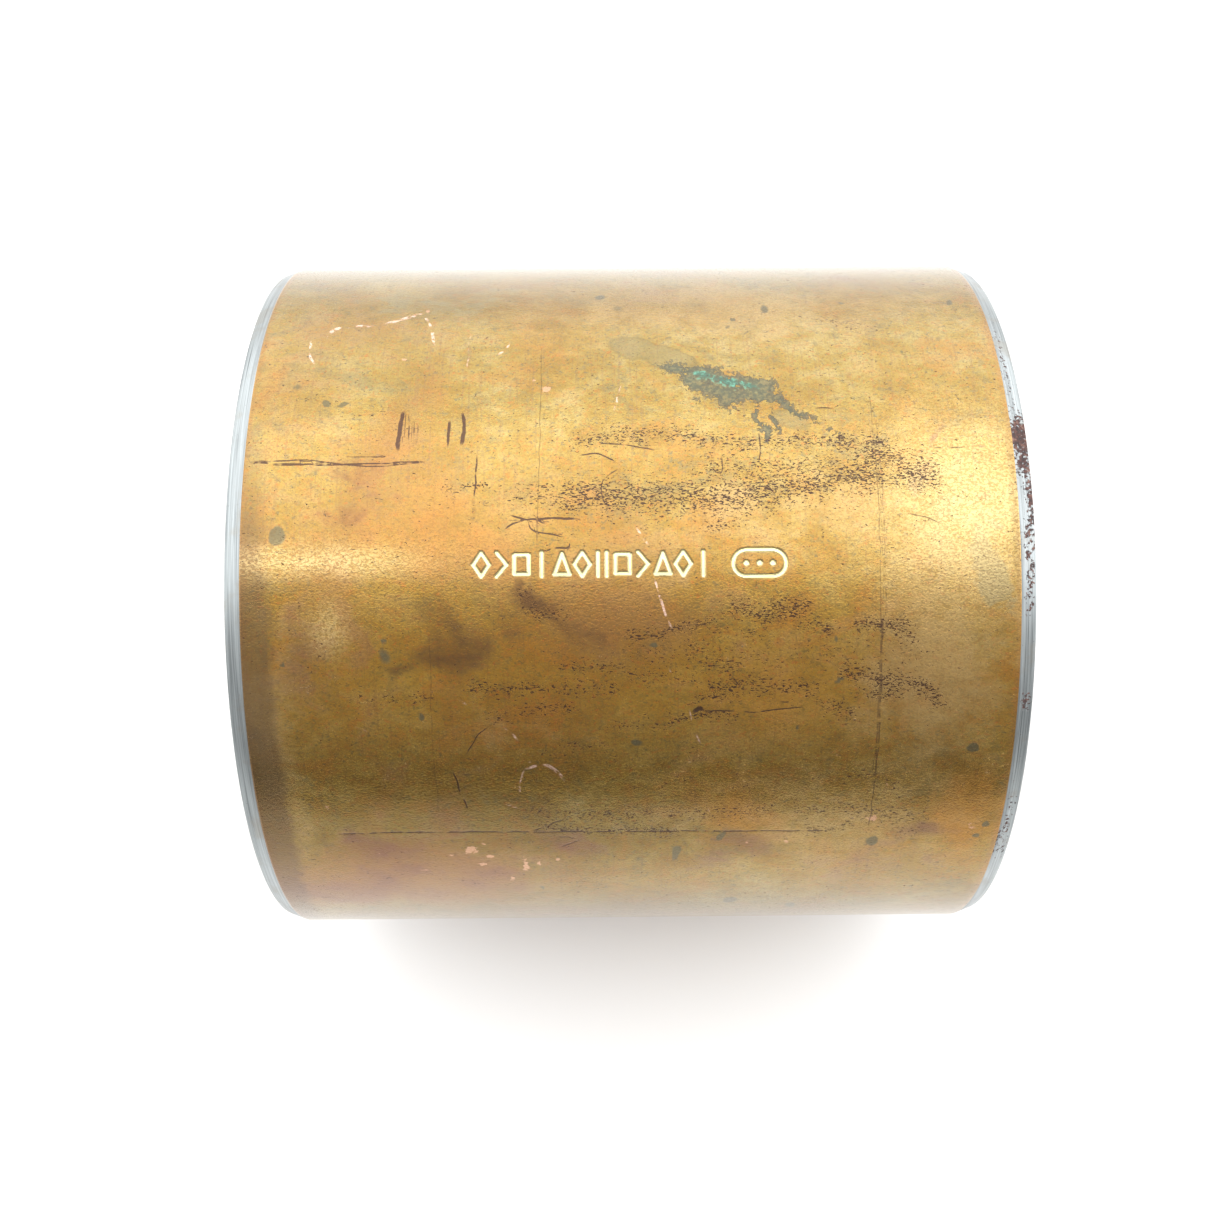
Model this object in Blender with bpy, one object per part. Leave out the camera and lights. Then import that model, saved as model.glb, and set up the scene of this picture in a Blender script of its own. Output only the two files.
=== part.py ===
"""Wrapped composite sleeve bushing, 75 mm bore x 80 mm outside diameter x 80 mm long.

The wall is a bonded strip of four layers, rolled into a tube with a straight butt split:
a thin bronze-coloured plating outside, a steel backing, a porous sintered bronze layer, and
an acetal lining with indents that hold grease. The bushing's axis is +X, its bore's centre is
the origin, and +Z is up. Angles are measured about +X, from +Y towards +Z.
"""

import math

import bmesh
import bpy

MM = 0.001

# Driving dimensions
BORE_RADIUS = 37.5 * MM
OUTER_RADIUS = 40 * MM
HALF_LENGTH = 40 * MM
PLATING_THICKNESS = 0.05 * MM
BRONZE_THICKNESS = 0.28 * MM
LINING_THICKNESS = 0.33 * MM
LAYER_GAP = 0.02 * MM  # bonded layers share their facets, so this hairline keeps them apart

OUTER_CHAMFER_LENGTH = 1.8 * MM
OUTER_CHAMFER_ANGLE = math.radians(20)
INNER_CHAMFER = 0.5 * MM

# The butt split, closed all but for the gap that a free bushing springs open to
SPLIT_ANGLE = math.radians(-19.5)
SPLIT_GAP = 0.3 * MM

# Facets around the wall. The flat of one lies at the bottom, so that the bushing can rest on it.
FACETS = 120
FACET_ANGLE = math.tau / FACETS

# Grease indents: a staggered pattern of shallow pits in the lining
INDENT_DEPTH = 0.24 * MM
INDENT_HALF_WIDTH = 2 * MM
INDENT_ROWS = 19
COLUMNS_PER_INDENT = 4


def end_at(radius):
    """Half the length of the wall at a radius, where its two chamfers are cut away."""
    outer_cut = (OUTER_RADIUS - radius) / math.tan(OUTER_CHAMFER_ANGLE)
    inner_cut = radius - BORE_RADIUS
    return min(
        HALF_LENGTH,
        HALF_LENGTH - OUTER_CHAMFER_LENGTH + outer_cut,
        HALF_LENGTH - INNER_CHAMFER + inner_cut,
    )


def layer_profile(inner, outer, rows=()):
    """The (x, radius) outline of one layer, with extra points along its bore at the rows' x."""
    chamfer_drop = OUTER_CHAMFER_LENGTH * math.tan(OUTER_CHAMFER_ANGLE)
    corners = [BORE_RADIUS + INNER_CHAMFER, OUTER_RADIUS - chamfer_drop]
    radii = [inner, *(r for r in corners if inner < r < outer), outer]
    right_end = [(end_at(r), r) for r in radii]
    left_end = [(-x, r) for x, r in reversed(right_end)]
    return right_end + left_end + [(x, inner) for x in rows]


def column_angles():
    """The angles of the facets' edges, from one side of the split round to the other."""
    half_gap = SPLIT_GAP / OUTER_RADIUS / 2
    between = [SPLIT_ANGLE + FACET_ANGLE * k for k in range(1, FACETS)]
    return [SPLIT_ANGLE + half_gap, *between, SPLIT_ANGLE + math.tau - half_gap]


def no_indent(column, x):
    """How far a point of a plain layer is sunk into it."""
    return 0.0


def grease_indent(column, x):
    """How far a point of the lining's bore is sunk: the depth at an indent's centre, else none."""
    steps = round(x / INDENT_HALF_WIDTH)
    row = steps // 2
    on_row = steps % 2 == 0 and abs(row) <= INDENT_ROWS // 2
    shift = COLUMNS_PER_INDENT // 2 if row % 2 else 0
    on_column = (column + shift) % COLUMNS_PER_INDENT == 0
    at_split = column in (0, FACETS)
    return INDENT_DEPTH if on_row and on_column and not at_split else 0.0


def add_cell(mesh, corners, sunk):
    """One cell of the wall. A cell with a sunk corner folds beside it, so that the pit is a diamond."""
    if any(sunk):
        low = sunk.index(True)
        a, b, c, d = corners[low:] + corners[:low]
        mesh.faces.new((a, b, d))
        mesh.faces.new((b, c, d))
    else:
        mesh.faces.new(corners)


def wrapped_layer(name, profile, material, indent=no_indent):
    """Sweeps a profile about +X from one side of the split to the other, as one closed solid."""
    mesh = bmesh.new()
    rings = []
    for column, angle in enumerate(column_angles()):
        depths = [indent(column, x) if r == profile[0][1] else 0.0 for x, r in profile]
        points = [
            (x, (r + depth) * math.cos(angle), (r + depth) * math.sin(angle))
            for (x, r), depth in zip(profile, depths)
        ]
        rings.append([(mesh.verts.new(p), depth > 0) for p, depth in zip(points, depths)])
    for ring, following in zip(rings, rings[1:]):
        for k, first in enumerate(ring):
            nearest = (k + 1) % len(ring)
            cell = [first, following[k], following[nearest], ring[nearest]]
            add_cell(mesh, [vertex for vertex, _ in cell], [low for _, low in cell])
    for ring in (rings[0], rings[-1]):
        mesh.faces.new([vertex for vertex, _ in ring])
    bmesh.ops.recalc_face_normals(mesh, faces=mesh.faces)

    data = bpy.data.meshes.new(name)
    mesh.to_mesh(data)
    mesh.free()
    data.shade_smooth()
    data.set_sharp_from_angle(angle=math.radians(10))
    data.materials.append(material)
    layer = bpy.data.objects.new(name, data)
    bpy.context.scene.collection.objects.link(layer)
    return layer


def plain_material(name, colour, metallic, roughness):
    """A Principled material of one colour."""
    material = bpy.data.materials.new(name)
    material.use_nodes = True
    shader = material.node_tree.nodes["Principled BSDF"]
    shader.inputs["Base Color"].default_value = (*colour, 1)
    shader.inputs["Metallic"].default_value = metallic
    shader.inputs["Roughness"].default_value = roughness
    return material


def indent_rows():
    """The x of each point along the lining's bore: an indent's middle, or an edge of one."""
    last = INDENT_ROWS
    return [INDENT_HALF_WIDTH * k for k in range(-last, last + 1)]


def build_bushing():
    """Builds the four layers from the outside in."""
    steel_outer = OUTER_RADIUS - PLATING_THICKNESS - LAYER_GAP
    lining_outer = BORE_RADIUS + LINING_THICKNESS
    bronze_inner = lining_outer + LAYER_GAP
    bronze_outer = bronze_inner + BRONZE_THICKNESS
    steel_inner = bronze_outer + LAYER_GAP

    wrapped_layer(
        "bronze_plating",
        layer_profile(OUTER_RADIUS - PLATING_THICKNESS, OUTER_RADIUS),
        plain_material("aged_bronze", (0.58, 0.36, 0.12), 1.0, 0.42),
    )
    wrapped_layer(
        "steel_backing",
        layer_profile(steel_inner, steel_outer),
        plain_material("bare_steel", (0.56, 0.58, 0.59), 1.0, 0.38),
    )
    wrapped_layer(
        "sintered_bronze_layer",
        layer_profile(bronze_inner, bronze_outer),
        plain_material("sintered_bronze", (0.50, 0.27, 0.12), 1.0, 0.65),
    )
    wrapped_layer(
        "acetal_lining",
        layer_profile(BORE_RADIUS, lining_outer, indent_rows()),
        plain_material("acetal", (0.50, 0.33, 0.13), 0.0, 0.45),
        grease_indent,
    )


def main():
    for leftover in list(bpy.data.objects):
        bpy.data.objects.remove(leftover)
    build_bushing()


main()
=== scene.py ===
"""The looks of a wrapped composite sleeve bushing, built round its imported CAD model.

The bushing lies on its side: its axis is +X, and +Z is up. Lengths here are in millimetres, and
become metres when a mesh is made. A place on the skin is (x, around): x along the axis, and the
degrees round it from the line that faces the camera, growing towards the front.
"""

import math
import random

import bpy
import numpy as np
from mathutils import Matrix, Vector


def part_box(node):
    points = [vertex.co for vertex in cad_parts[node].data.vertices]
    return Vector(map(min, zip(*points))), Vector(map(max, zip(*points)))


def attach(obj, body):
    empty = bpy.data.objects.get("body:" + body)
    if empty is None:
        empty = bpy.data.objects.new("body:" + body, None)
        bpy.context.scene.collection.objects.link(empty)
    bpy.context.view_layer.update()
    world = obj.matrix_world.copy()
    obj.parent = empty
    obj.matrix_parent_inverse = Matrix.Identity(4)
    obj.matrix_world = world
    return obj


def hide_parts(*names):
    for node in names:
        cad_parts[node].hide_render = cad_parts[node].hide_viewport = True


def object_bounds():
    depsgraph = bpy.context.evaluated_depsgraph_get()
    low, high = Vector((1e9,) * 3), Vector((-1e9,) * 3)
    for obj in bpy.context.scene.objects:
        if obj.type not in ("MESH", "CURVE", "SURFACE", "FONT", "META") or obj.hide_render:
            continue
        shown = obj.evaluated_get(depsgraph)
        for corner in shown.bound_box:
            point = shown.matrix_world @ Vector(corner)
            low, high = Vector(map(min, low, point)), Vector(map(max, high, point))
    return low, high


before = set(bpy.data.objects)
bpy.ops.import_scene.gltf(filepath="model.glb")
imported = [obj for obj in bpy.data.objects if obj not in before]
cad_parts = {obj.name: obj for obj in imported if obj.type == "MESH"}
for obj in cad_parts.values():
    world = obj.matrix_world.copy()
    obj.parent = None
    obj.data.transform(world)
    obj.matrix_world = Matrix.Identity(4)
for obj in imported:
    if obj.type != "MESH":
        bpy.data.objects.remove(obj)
cad_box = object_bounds()

MM = 0.001


def resting_radius(node):
    """The radius of a CAD layer, measured to the flat that it rests on, so as to stay in its box."""
    return -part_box(node)[0].z / MM


# The bushing's own sizes, from the CAD's boxes and its few driving dimensions
SKIN_RADIUS = resting_radius("bronze_plating")
STEEL_RADIUS = resting_radius("steel_backing")
SINTER_RADIUS = resting_radius("sintered_bronze_layer")
LINING_RADIUS = resting_radius("acetal_lining")
BORE_RADIUS = 37.5
HALF_LENGTH = cad_box[1].x / MM
SKIN_THICKNESS = 0.05
LAYER_GAP = 0.02
OUTER_CHAMFER = 1.8
OUTER_CHAMFER_ANGLE = math.radians(20)
INNER_CHAMFER = 0.5
SKIN_END = HALF_LENGTH - OUTER_CHAMFER
SPLIT_ANGLE = math.radians(-19.5)
SPLIT_GAP = 0.3

# The camera, which looks down on the bushing from the front
ELEVATION = math.radians(72)
DISTANCE = 177.13
LENS = 41.54
YAW = math.radians(-0.51)
ROLL = math.radians(-0.42)
SHIFT = (-0.0171, -0.0122)

# The angle about +X, from +Y towards +Z, of the line on the skin that faces the camera
FACING = math.pi - ELEVATION
MM_PER_DEGREE = math.radians(SKIN_RADIUS)

# The skin's mesh: coarse cells of about a millimetre, cut into fine ones where it is marked. Each
# is FINE_STEPS of a fine lattice wide, and a fine cell's size is given in steps of that lattice.
SKIN_ROWS = 76
SKIN_COLUMNS = 240
STEEL_COLUMNS = 480
FINE_STEPS = 12
ZONE_STEP = 4
SCRATCH_STEP = 2
STAMP_STEP = 1
# Cells are cut this many millimetres past the edge of a mark
MARK_MARGIN = 0.75
# Where the verdigris lies: lowest and highest x, then lowest and highest degrees round
VERDIGRIS_ZONE = (-4, 22, -43, -18)

# Scratches: how deep they are at full strength, how broken up they are, how far past a scratch's
# edge its strength reaches, over what length its ends fade, and a number of half widths far off it
DARK_DEPTH = 0.03
BRIGHT_DEPTH = 0.012
DARK_GAPS = -0.1
BRIGHT_GAPS = 0.6
SCRATCH_REACH = 0.35
SCRATCH_TAPER = 0.8
FAR_OFF = 9

# The smooth noise that makes the listed marks irregular repeats after this many waves
LATTICE = 128

# A length that is too small to count
TINY = 1e-6


# ---------------------------------------------------------------------------------------------
# Marks on the skin. Each is placed by (x, around), in millimetres and degrees.

# Thin dark scratches: width in millimetres, strength, and the line
DARK_SCRATCHES = [
    (0.14, 0.9, [(-37.7, -19.2), (-33, -18.8), (-27, -18.9), (-20.4, -19.1)]),
    (0.11, 0.7, [(-37.6, -19.3), (-32, -19.5), (-26, -18.5), (-20.6, -19.0)]),
    (0.40, 0.9, [(-20.9, -19.1), (-20.4, -19.0)]),
    (0.30, 0.8, [(-37.7, -19.2), (-37.5, -18.9)]),
    (0.11, 0.5, [(30, -20.8), (35.2, -21.0)]),
    (0.13, 0.7, [(18.7, -27.6), (21.2, -27.4)]),
    (0.32, 1.0, [(-22.8, -27.4), (-23.1, -24), (-23.2, -20.9)]),
    (0.12, 0.6, [(-22.2, -27), (-22.1, -22.6)]),
    (0.11, 0.5, [(-21.7, -26), (-21.6, -22.6)]),
    (0.11, 0.5, [(-21.2, -25), (-21.3, -22)]),
    (0.18, 1.0, [(-18.1, -25.8), (-18.2, -21.5)]),
    (0.28, 1.0, [(-16.9, -27.5), (-16.6, -25), (-16.9, -21.9)]),
    (0.13, 0.8, [(-15.3, -20), (-15.4, -13.8)]),
    (0.40, 0.25, [(-15.5, -13.8), (-15.5, -10)]),
    (0.13, 1.0, [(-11.8, -11), (-10.2, -10.4), (-7.5, -10.5), (-5, -10.3)]),
    (0.12, 0.9, [(-12.4, -9.1), (-11.6, -9.9), (-9.6, -10.5), (-8.4, -9.8)]),
    (0.11, 0.8, [(-10, -10), (-9.5, -8.7), (-7, -8), (-6, -7), (-6.2, -5.8)]),
    (0.12, 0.8, [(-8.5, -5.8), (-7.2, -6.3), (-5.8, -6.2)]),
    (0.12, 0.8, [(-5, -20), (-3.2, -20.2), (-1.2, -18.5)]),
    (0.10, 0.6, [(-1, -18), (-2.8, -16), (-2.5, -12.6), (-1, -12.4)]),
    (0.11, 0.7, [(-3, -22), (0, -21.5), (1, -21.2), (2.5, -20.8)]),
    (0.12, 0.7, [(13, -23.4), (12.9, -18.5)]),
    (0.11, 0.6, [(8.1, -20.4), (8.3, -17.6), (9.1, -17.4), (9.2, -20)]),
    (0.11, 0.5, [(27, -10.8), (29, -10.4), (30.8, -9.4)]),
    (0.12, 1.0, [(-18.1, 26.6), (-17.5, 30), (-16.8, 33.5)]),
    (0.10, 0.7, [(-13.9, 19), (-15.6, 21.2), (-16.7, 24)]),
    (0.36, 1.0, [(6, 17.6), (6.8, 16.9), (7.6, 17.4)]),
    (0.12, 0.8, [(7.4, 17.2), (12, 17.4), (17, 16.8)]),
    (0.12, 0.75, [(-30.5, 38.5), (-22, 38.3), (-12, 38.4), (-1, 38.5)]),
    (0.15, 0.6, [(-1, 38.5), (8, 38.6), (20, 38.7)]),
    (0.13, 0.6, [(-10.5, 38.2), (-8.6, 36.9), (-6.6, 35.8)]),
    (0.13, 0.5, [(-7.5, 42), (-4.5, 39.6)]),
    (0.12, 0.35, [(-9.1, -40), (-9.0, -24), (-9.2, -6)]),
    (0.12, 0.35, [(24.4, -30), (24.5, -2), (24.4, 30)]),
    (0.12, 0.30, [(24.9, -26), (24.9, -10), (25.0, 6)]),
    (0.13, 0.45, [(24.6, 3), (24.7, 20), (24.6, 38)]),
    (0.12, 0.30, [(-19.8, 6), (-19.9, 20), (-19.8, 34)]),
    (0.11, 0.4, [(12.2, 0), (12.3, -1.8)]),
]

# Bright scratches that cut through the tarnish, given in the same way
BRIGHT_SCRATCHES = [
    (0.22, 0.8, [(-33.4, -41.7), (-33.1, -38.6), (-32.3, -36.2)]),
    (0.40, 0.9, [(-31.6, -42.2), (-31, -44.6), (-29, -45.1), (-26.9, -45.6)]),
    (0.40, 0.9, [(-26.9, -45.4), (-24.9, -46.6), (-22.6, -48.4), (-21.7, -48.3)]),
    (0.26, 0.9, [(-21.7, -48.3), (-21, -45), (-20.3, -40.6)]),
    (0.18, 0.4, [(-16.6, -42.8), (-16.7, -39), (-16.6, -35.4)]),
    (0.22, 0.7, [(-13.7, -38.2), (-12.9, -39.4), (-12.4, -41)]),
    (0.20, 0.6, [(-0.8, -31.8), (-1.2, -29.4), (-1.6, -27.4)]),
    (0.20, 0.5, [(0.5, -9.2), (1.1, -8), (1.8, -6.6)]),
    (0.20, 0.8, [(2.3, -2), (3.3, 3.1), (4.1, 5.4)]),
    (0.18, 0.8, [(3.7, 11.1), (4.4, 12.7)]),
    (0.16, 0.5, [(5.6, 17), (6.3, 20.5), (6.9, 22.4)]),
    (0.16, 0.6, [(7.4, 32.6), (7.9, 34.4)]),
    (0.20, 0.9, [(-17.5, 14.7), (-16.4, 15.8)]),
    (0.18, 0.8, [(-15.1, 16.6), (-14.4, 17.8)]),
    (0.18, 0.7, [(-12.7, 19.6), (-11.4, 21.6)]),
    (0.16, 0.5, [(-11.4, 31), (-11.4, 28.6), (-10.8, 26.3)]),
    (0.30, 0.7, [(-10.8, 26.3), (-9.2, 25.6), (-8, 26.3), (-6.8, 28.4)]),
    (0.16, 0.4, [(-28.5, 19.3), (-27.4, 19.2), (-26.4, 20)]),
    (0.28, 0.4, [(-13, 32.6), (-11.4, 33.6)]),
]

# Patches where the tarnish is rubbed off: x, around, half length, half height, turn, strength
RUBBED = [
    (-21.3, -49.5, 0.28, 0.28, 0, 0.9), (-23.2, -37.5, 0.20, 0.20, 0, 0.9),
    (-32, -40, 0.18, 0.18, 0, 0.7), (-8.6, -31.0, 0.36, 0.36, 0, 1.0), (-9.85, -32.7, 0.25, 0.22, 0, 0.9),
    (-31.3, 33.2, 0.35, 0.35, 30, 0.8), (-16.8, 42.7, 0.55, 0.45, 0, 1.0),
    (-15.1, 44.5, 0.50, 0.32, 0, 0.9), (-16, 46.4, 0.35, 0.30, 0, 0.8),
    (-15.6, 40.8, 0.45, 0.20, 60, 0.8), (-19.2, 43.6, 0.30, 0.18, 0, 0.8),
    (-11.3, 46.6, 0.32, 1.15, -6, 1.0), (-9.8, 46, 0.20, 0.5, 0, 0.8), (-8.2, 45.4, 0.22, 0.35, 0, 0.8),
    (-12.6, 50.3, 0.26, 0.45, 20, 0.9), (-22.4, 48, 0.7, 0.2, 0, 0.6), (-26.4, 43.7, 0.22, 0.22, 0, 0.7),
    (24.6, 36.2, 0.5, 0.45, 0, 0.9), (16, 41, 0.5, 0.25, 0, 0.6), (12, 41.5, 0.25, 0.25, 0, 0.6),
    (35.5, 38, 0.7, 0.5, 0, 0.5), (20.7, 24.7, 0.14, 0.14, 0, 1.0), (26, 29.7, 0.12, 0.12, 0, 1.0),
]

# Bands of black-brown flecks: half width in millimetres, strength and the line along their middle
FLECK_BANDS = [
    (1.0, 0.61, [(-5, -22.9), (5, -23.2), (10, -22)]),
    (1.0, 0.7, [(11, -21.8), (17, -22.2), (24, -21.8)]),
    (1.1, 0.82, [(20.5, -21.8), (25, -21.6)]),
    (1.7, 0.82, [(24, -20), (27.5, -18.2), (29.5, -16.8)]),
    (1.0, 0.82, [(26.5, -15.8), (30.5, -15.8)]),
    (0.28, 0.78, [(-20, -15.4), (-8, -15.3), (8, -15.5), (20, -15.6)]),
    (0.9, 0.57, [(-11, -13.4), (-5, -14)]),
    (1.9, 0.82, [(-6, -13.6), (0, -13.6), (8, -13.6), (14, -14)]),
    (1.9, 0.82, [(12, -14.6), (18, -15.2), (24, -17)]),
    (1.4, 0.57, [(8, -17.6), (14, -18), (20, -18.4)]),
    (0.7, 0.9, [(7.8, -9.8), (9.4, -9.8)]),
    (0.5, 0.75, [(8.3, -20), (8.5, -17.4)]),
    (0.6, 0.9, [(0, 6.4), (5, 5.2), (9.2, 3.6), (12.3, 2.8), (16.9, 1.3)]),
    (0.9, 0.9, [(10.5, 2.4), (13, 3.4), (17, 2.2)]),
    (0.7, 0.9, [(17, 4.8), (19.4, 5.6)]),
    (0.9, 0.9, [(22.4, 4.8), (26.8, 5.2)]),
    (0.5, 0.6, [(6, 7.6), (12, 6.4)]),
    (0.7, 0.7, [(5.5, 9.4), (11, 11.6)]),
    (0.9, 0.85, [(8, 14.2), (12, 13.4), (18.4, 14)]),
    (0.5, 0.7, [(5.6, 15.4), (10, 15)]),
    (0.9, 1.0, [(21, 11.6), (25, 12.8), (29.6, 14.4), (30.6, 16)]),
    (0.6, 0.8, [(22, 14.6), (26, 15.4)]),
    (0.8, 0.85, [(19.4, 16.2), (22, 18.4)]),
    (0.5, 0.8, [(4, 18), (10, 18)]),
    (0.6, 0.7, [(-2, 19.4), (4, 19.2)]),
    (0.8, 0.6, [(0, 12), (6, 12.6)]),
    (0.8, 0.8, [(-16, 13.6), (-8, 13.6), (-2, 14)]),
    (0.8, 0.75, [(-14, 17.6), (-6, 16.6)]),
    (0.6, 0.6, [(-29, 15.8), (-20, 15.2)]),
    (0.7, 0.7, [(-7, 10), (-1, 11)]),
    (0.7, 0.65, [(-10, 23.5), (-3, 22.5)]),
    (0.8, 0.55, [(6, 23.6), (9, 25.6)]),
    (0.8, 0.4, [(-2, 24), (4, 27)]),
    (1.2, 0.5, [(18, 29), (24, 27.4), (28, 31)]),
    (0.8, 0.55, [(0, 30), (6, 29), (12, 30)]),
    (1.2, 0.6, [(-10, 34), (-2, 34.6), (8, 35), (14, 34)]),
    (1.4, 0.6, [(17, 34), (24, 34.6), (30, 36)]),
    (0.7, 0.7, [(-9, 37), (-3, 38.4), (5, 38.4)]),
    (0.7, 0.7, [(18.8, 38.4), (23, 38)]),
    (0.7, 0.5, [(27, 40), (31, 38)]),
    (0.5, 0.8, [(-10.6, -0.2), (-10.2, 2.4), (-8, 3.2), (-5.6, 2)]),
    (1.6, 0.35, [(0, 9), (14, 9), (28, 9)]),
    (1.2, 0.45, [(21, -47), (26, -44)]),
]

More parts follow.
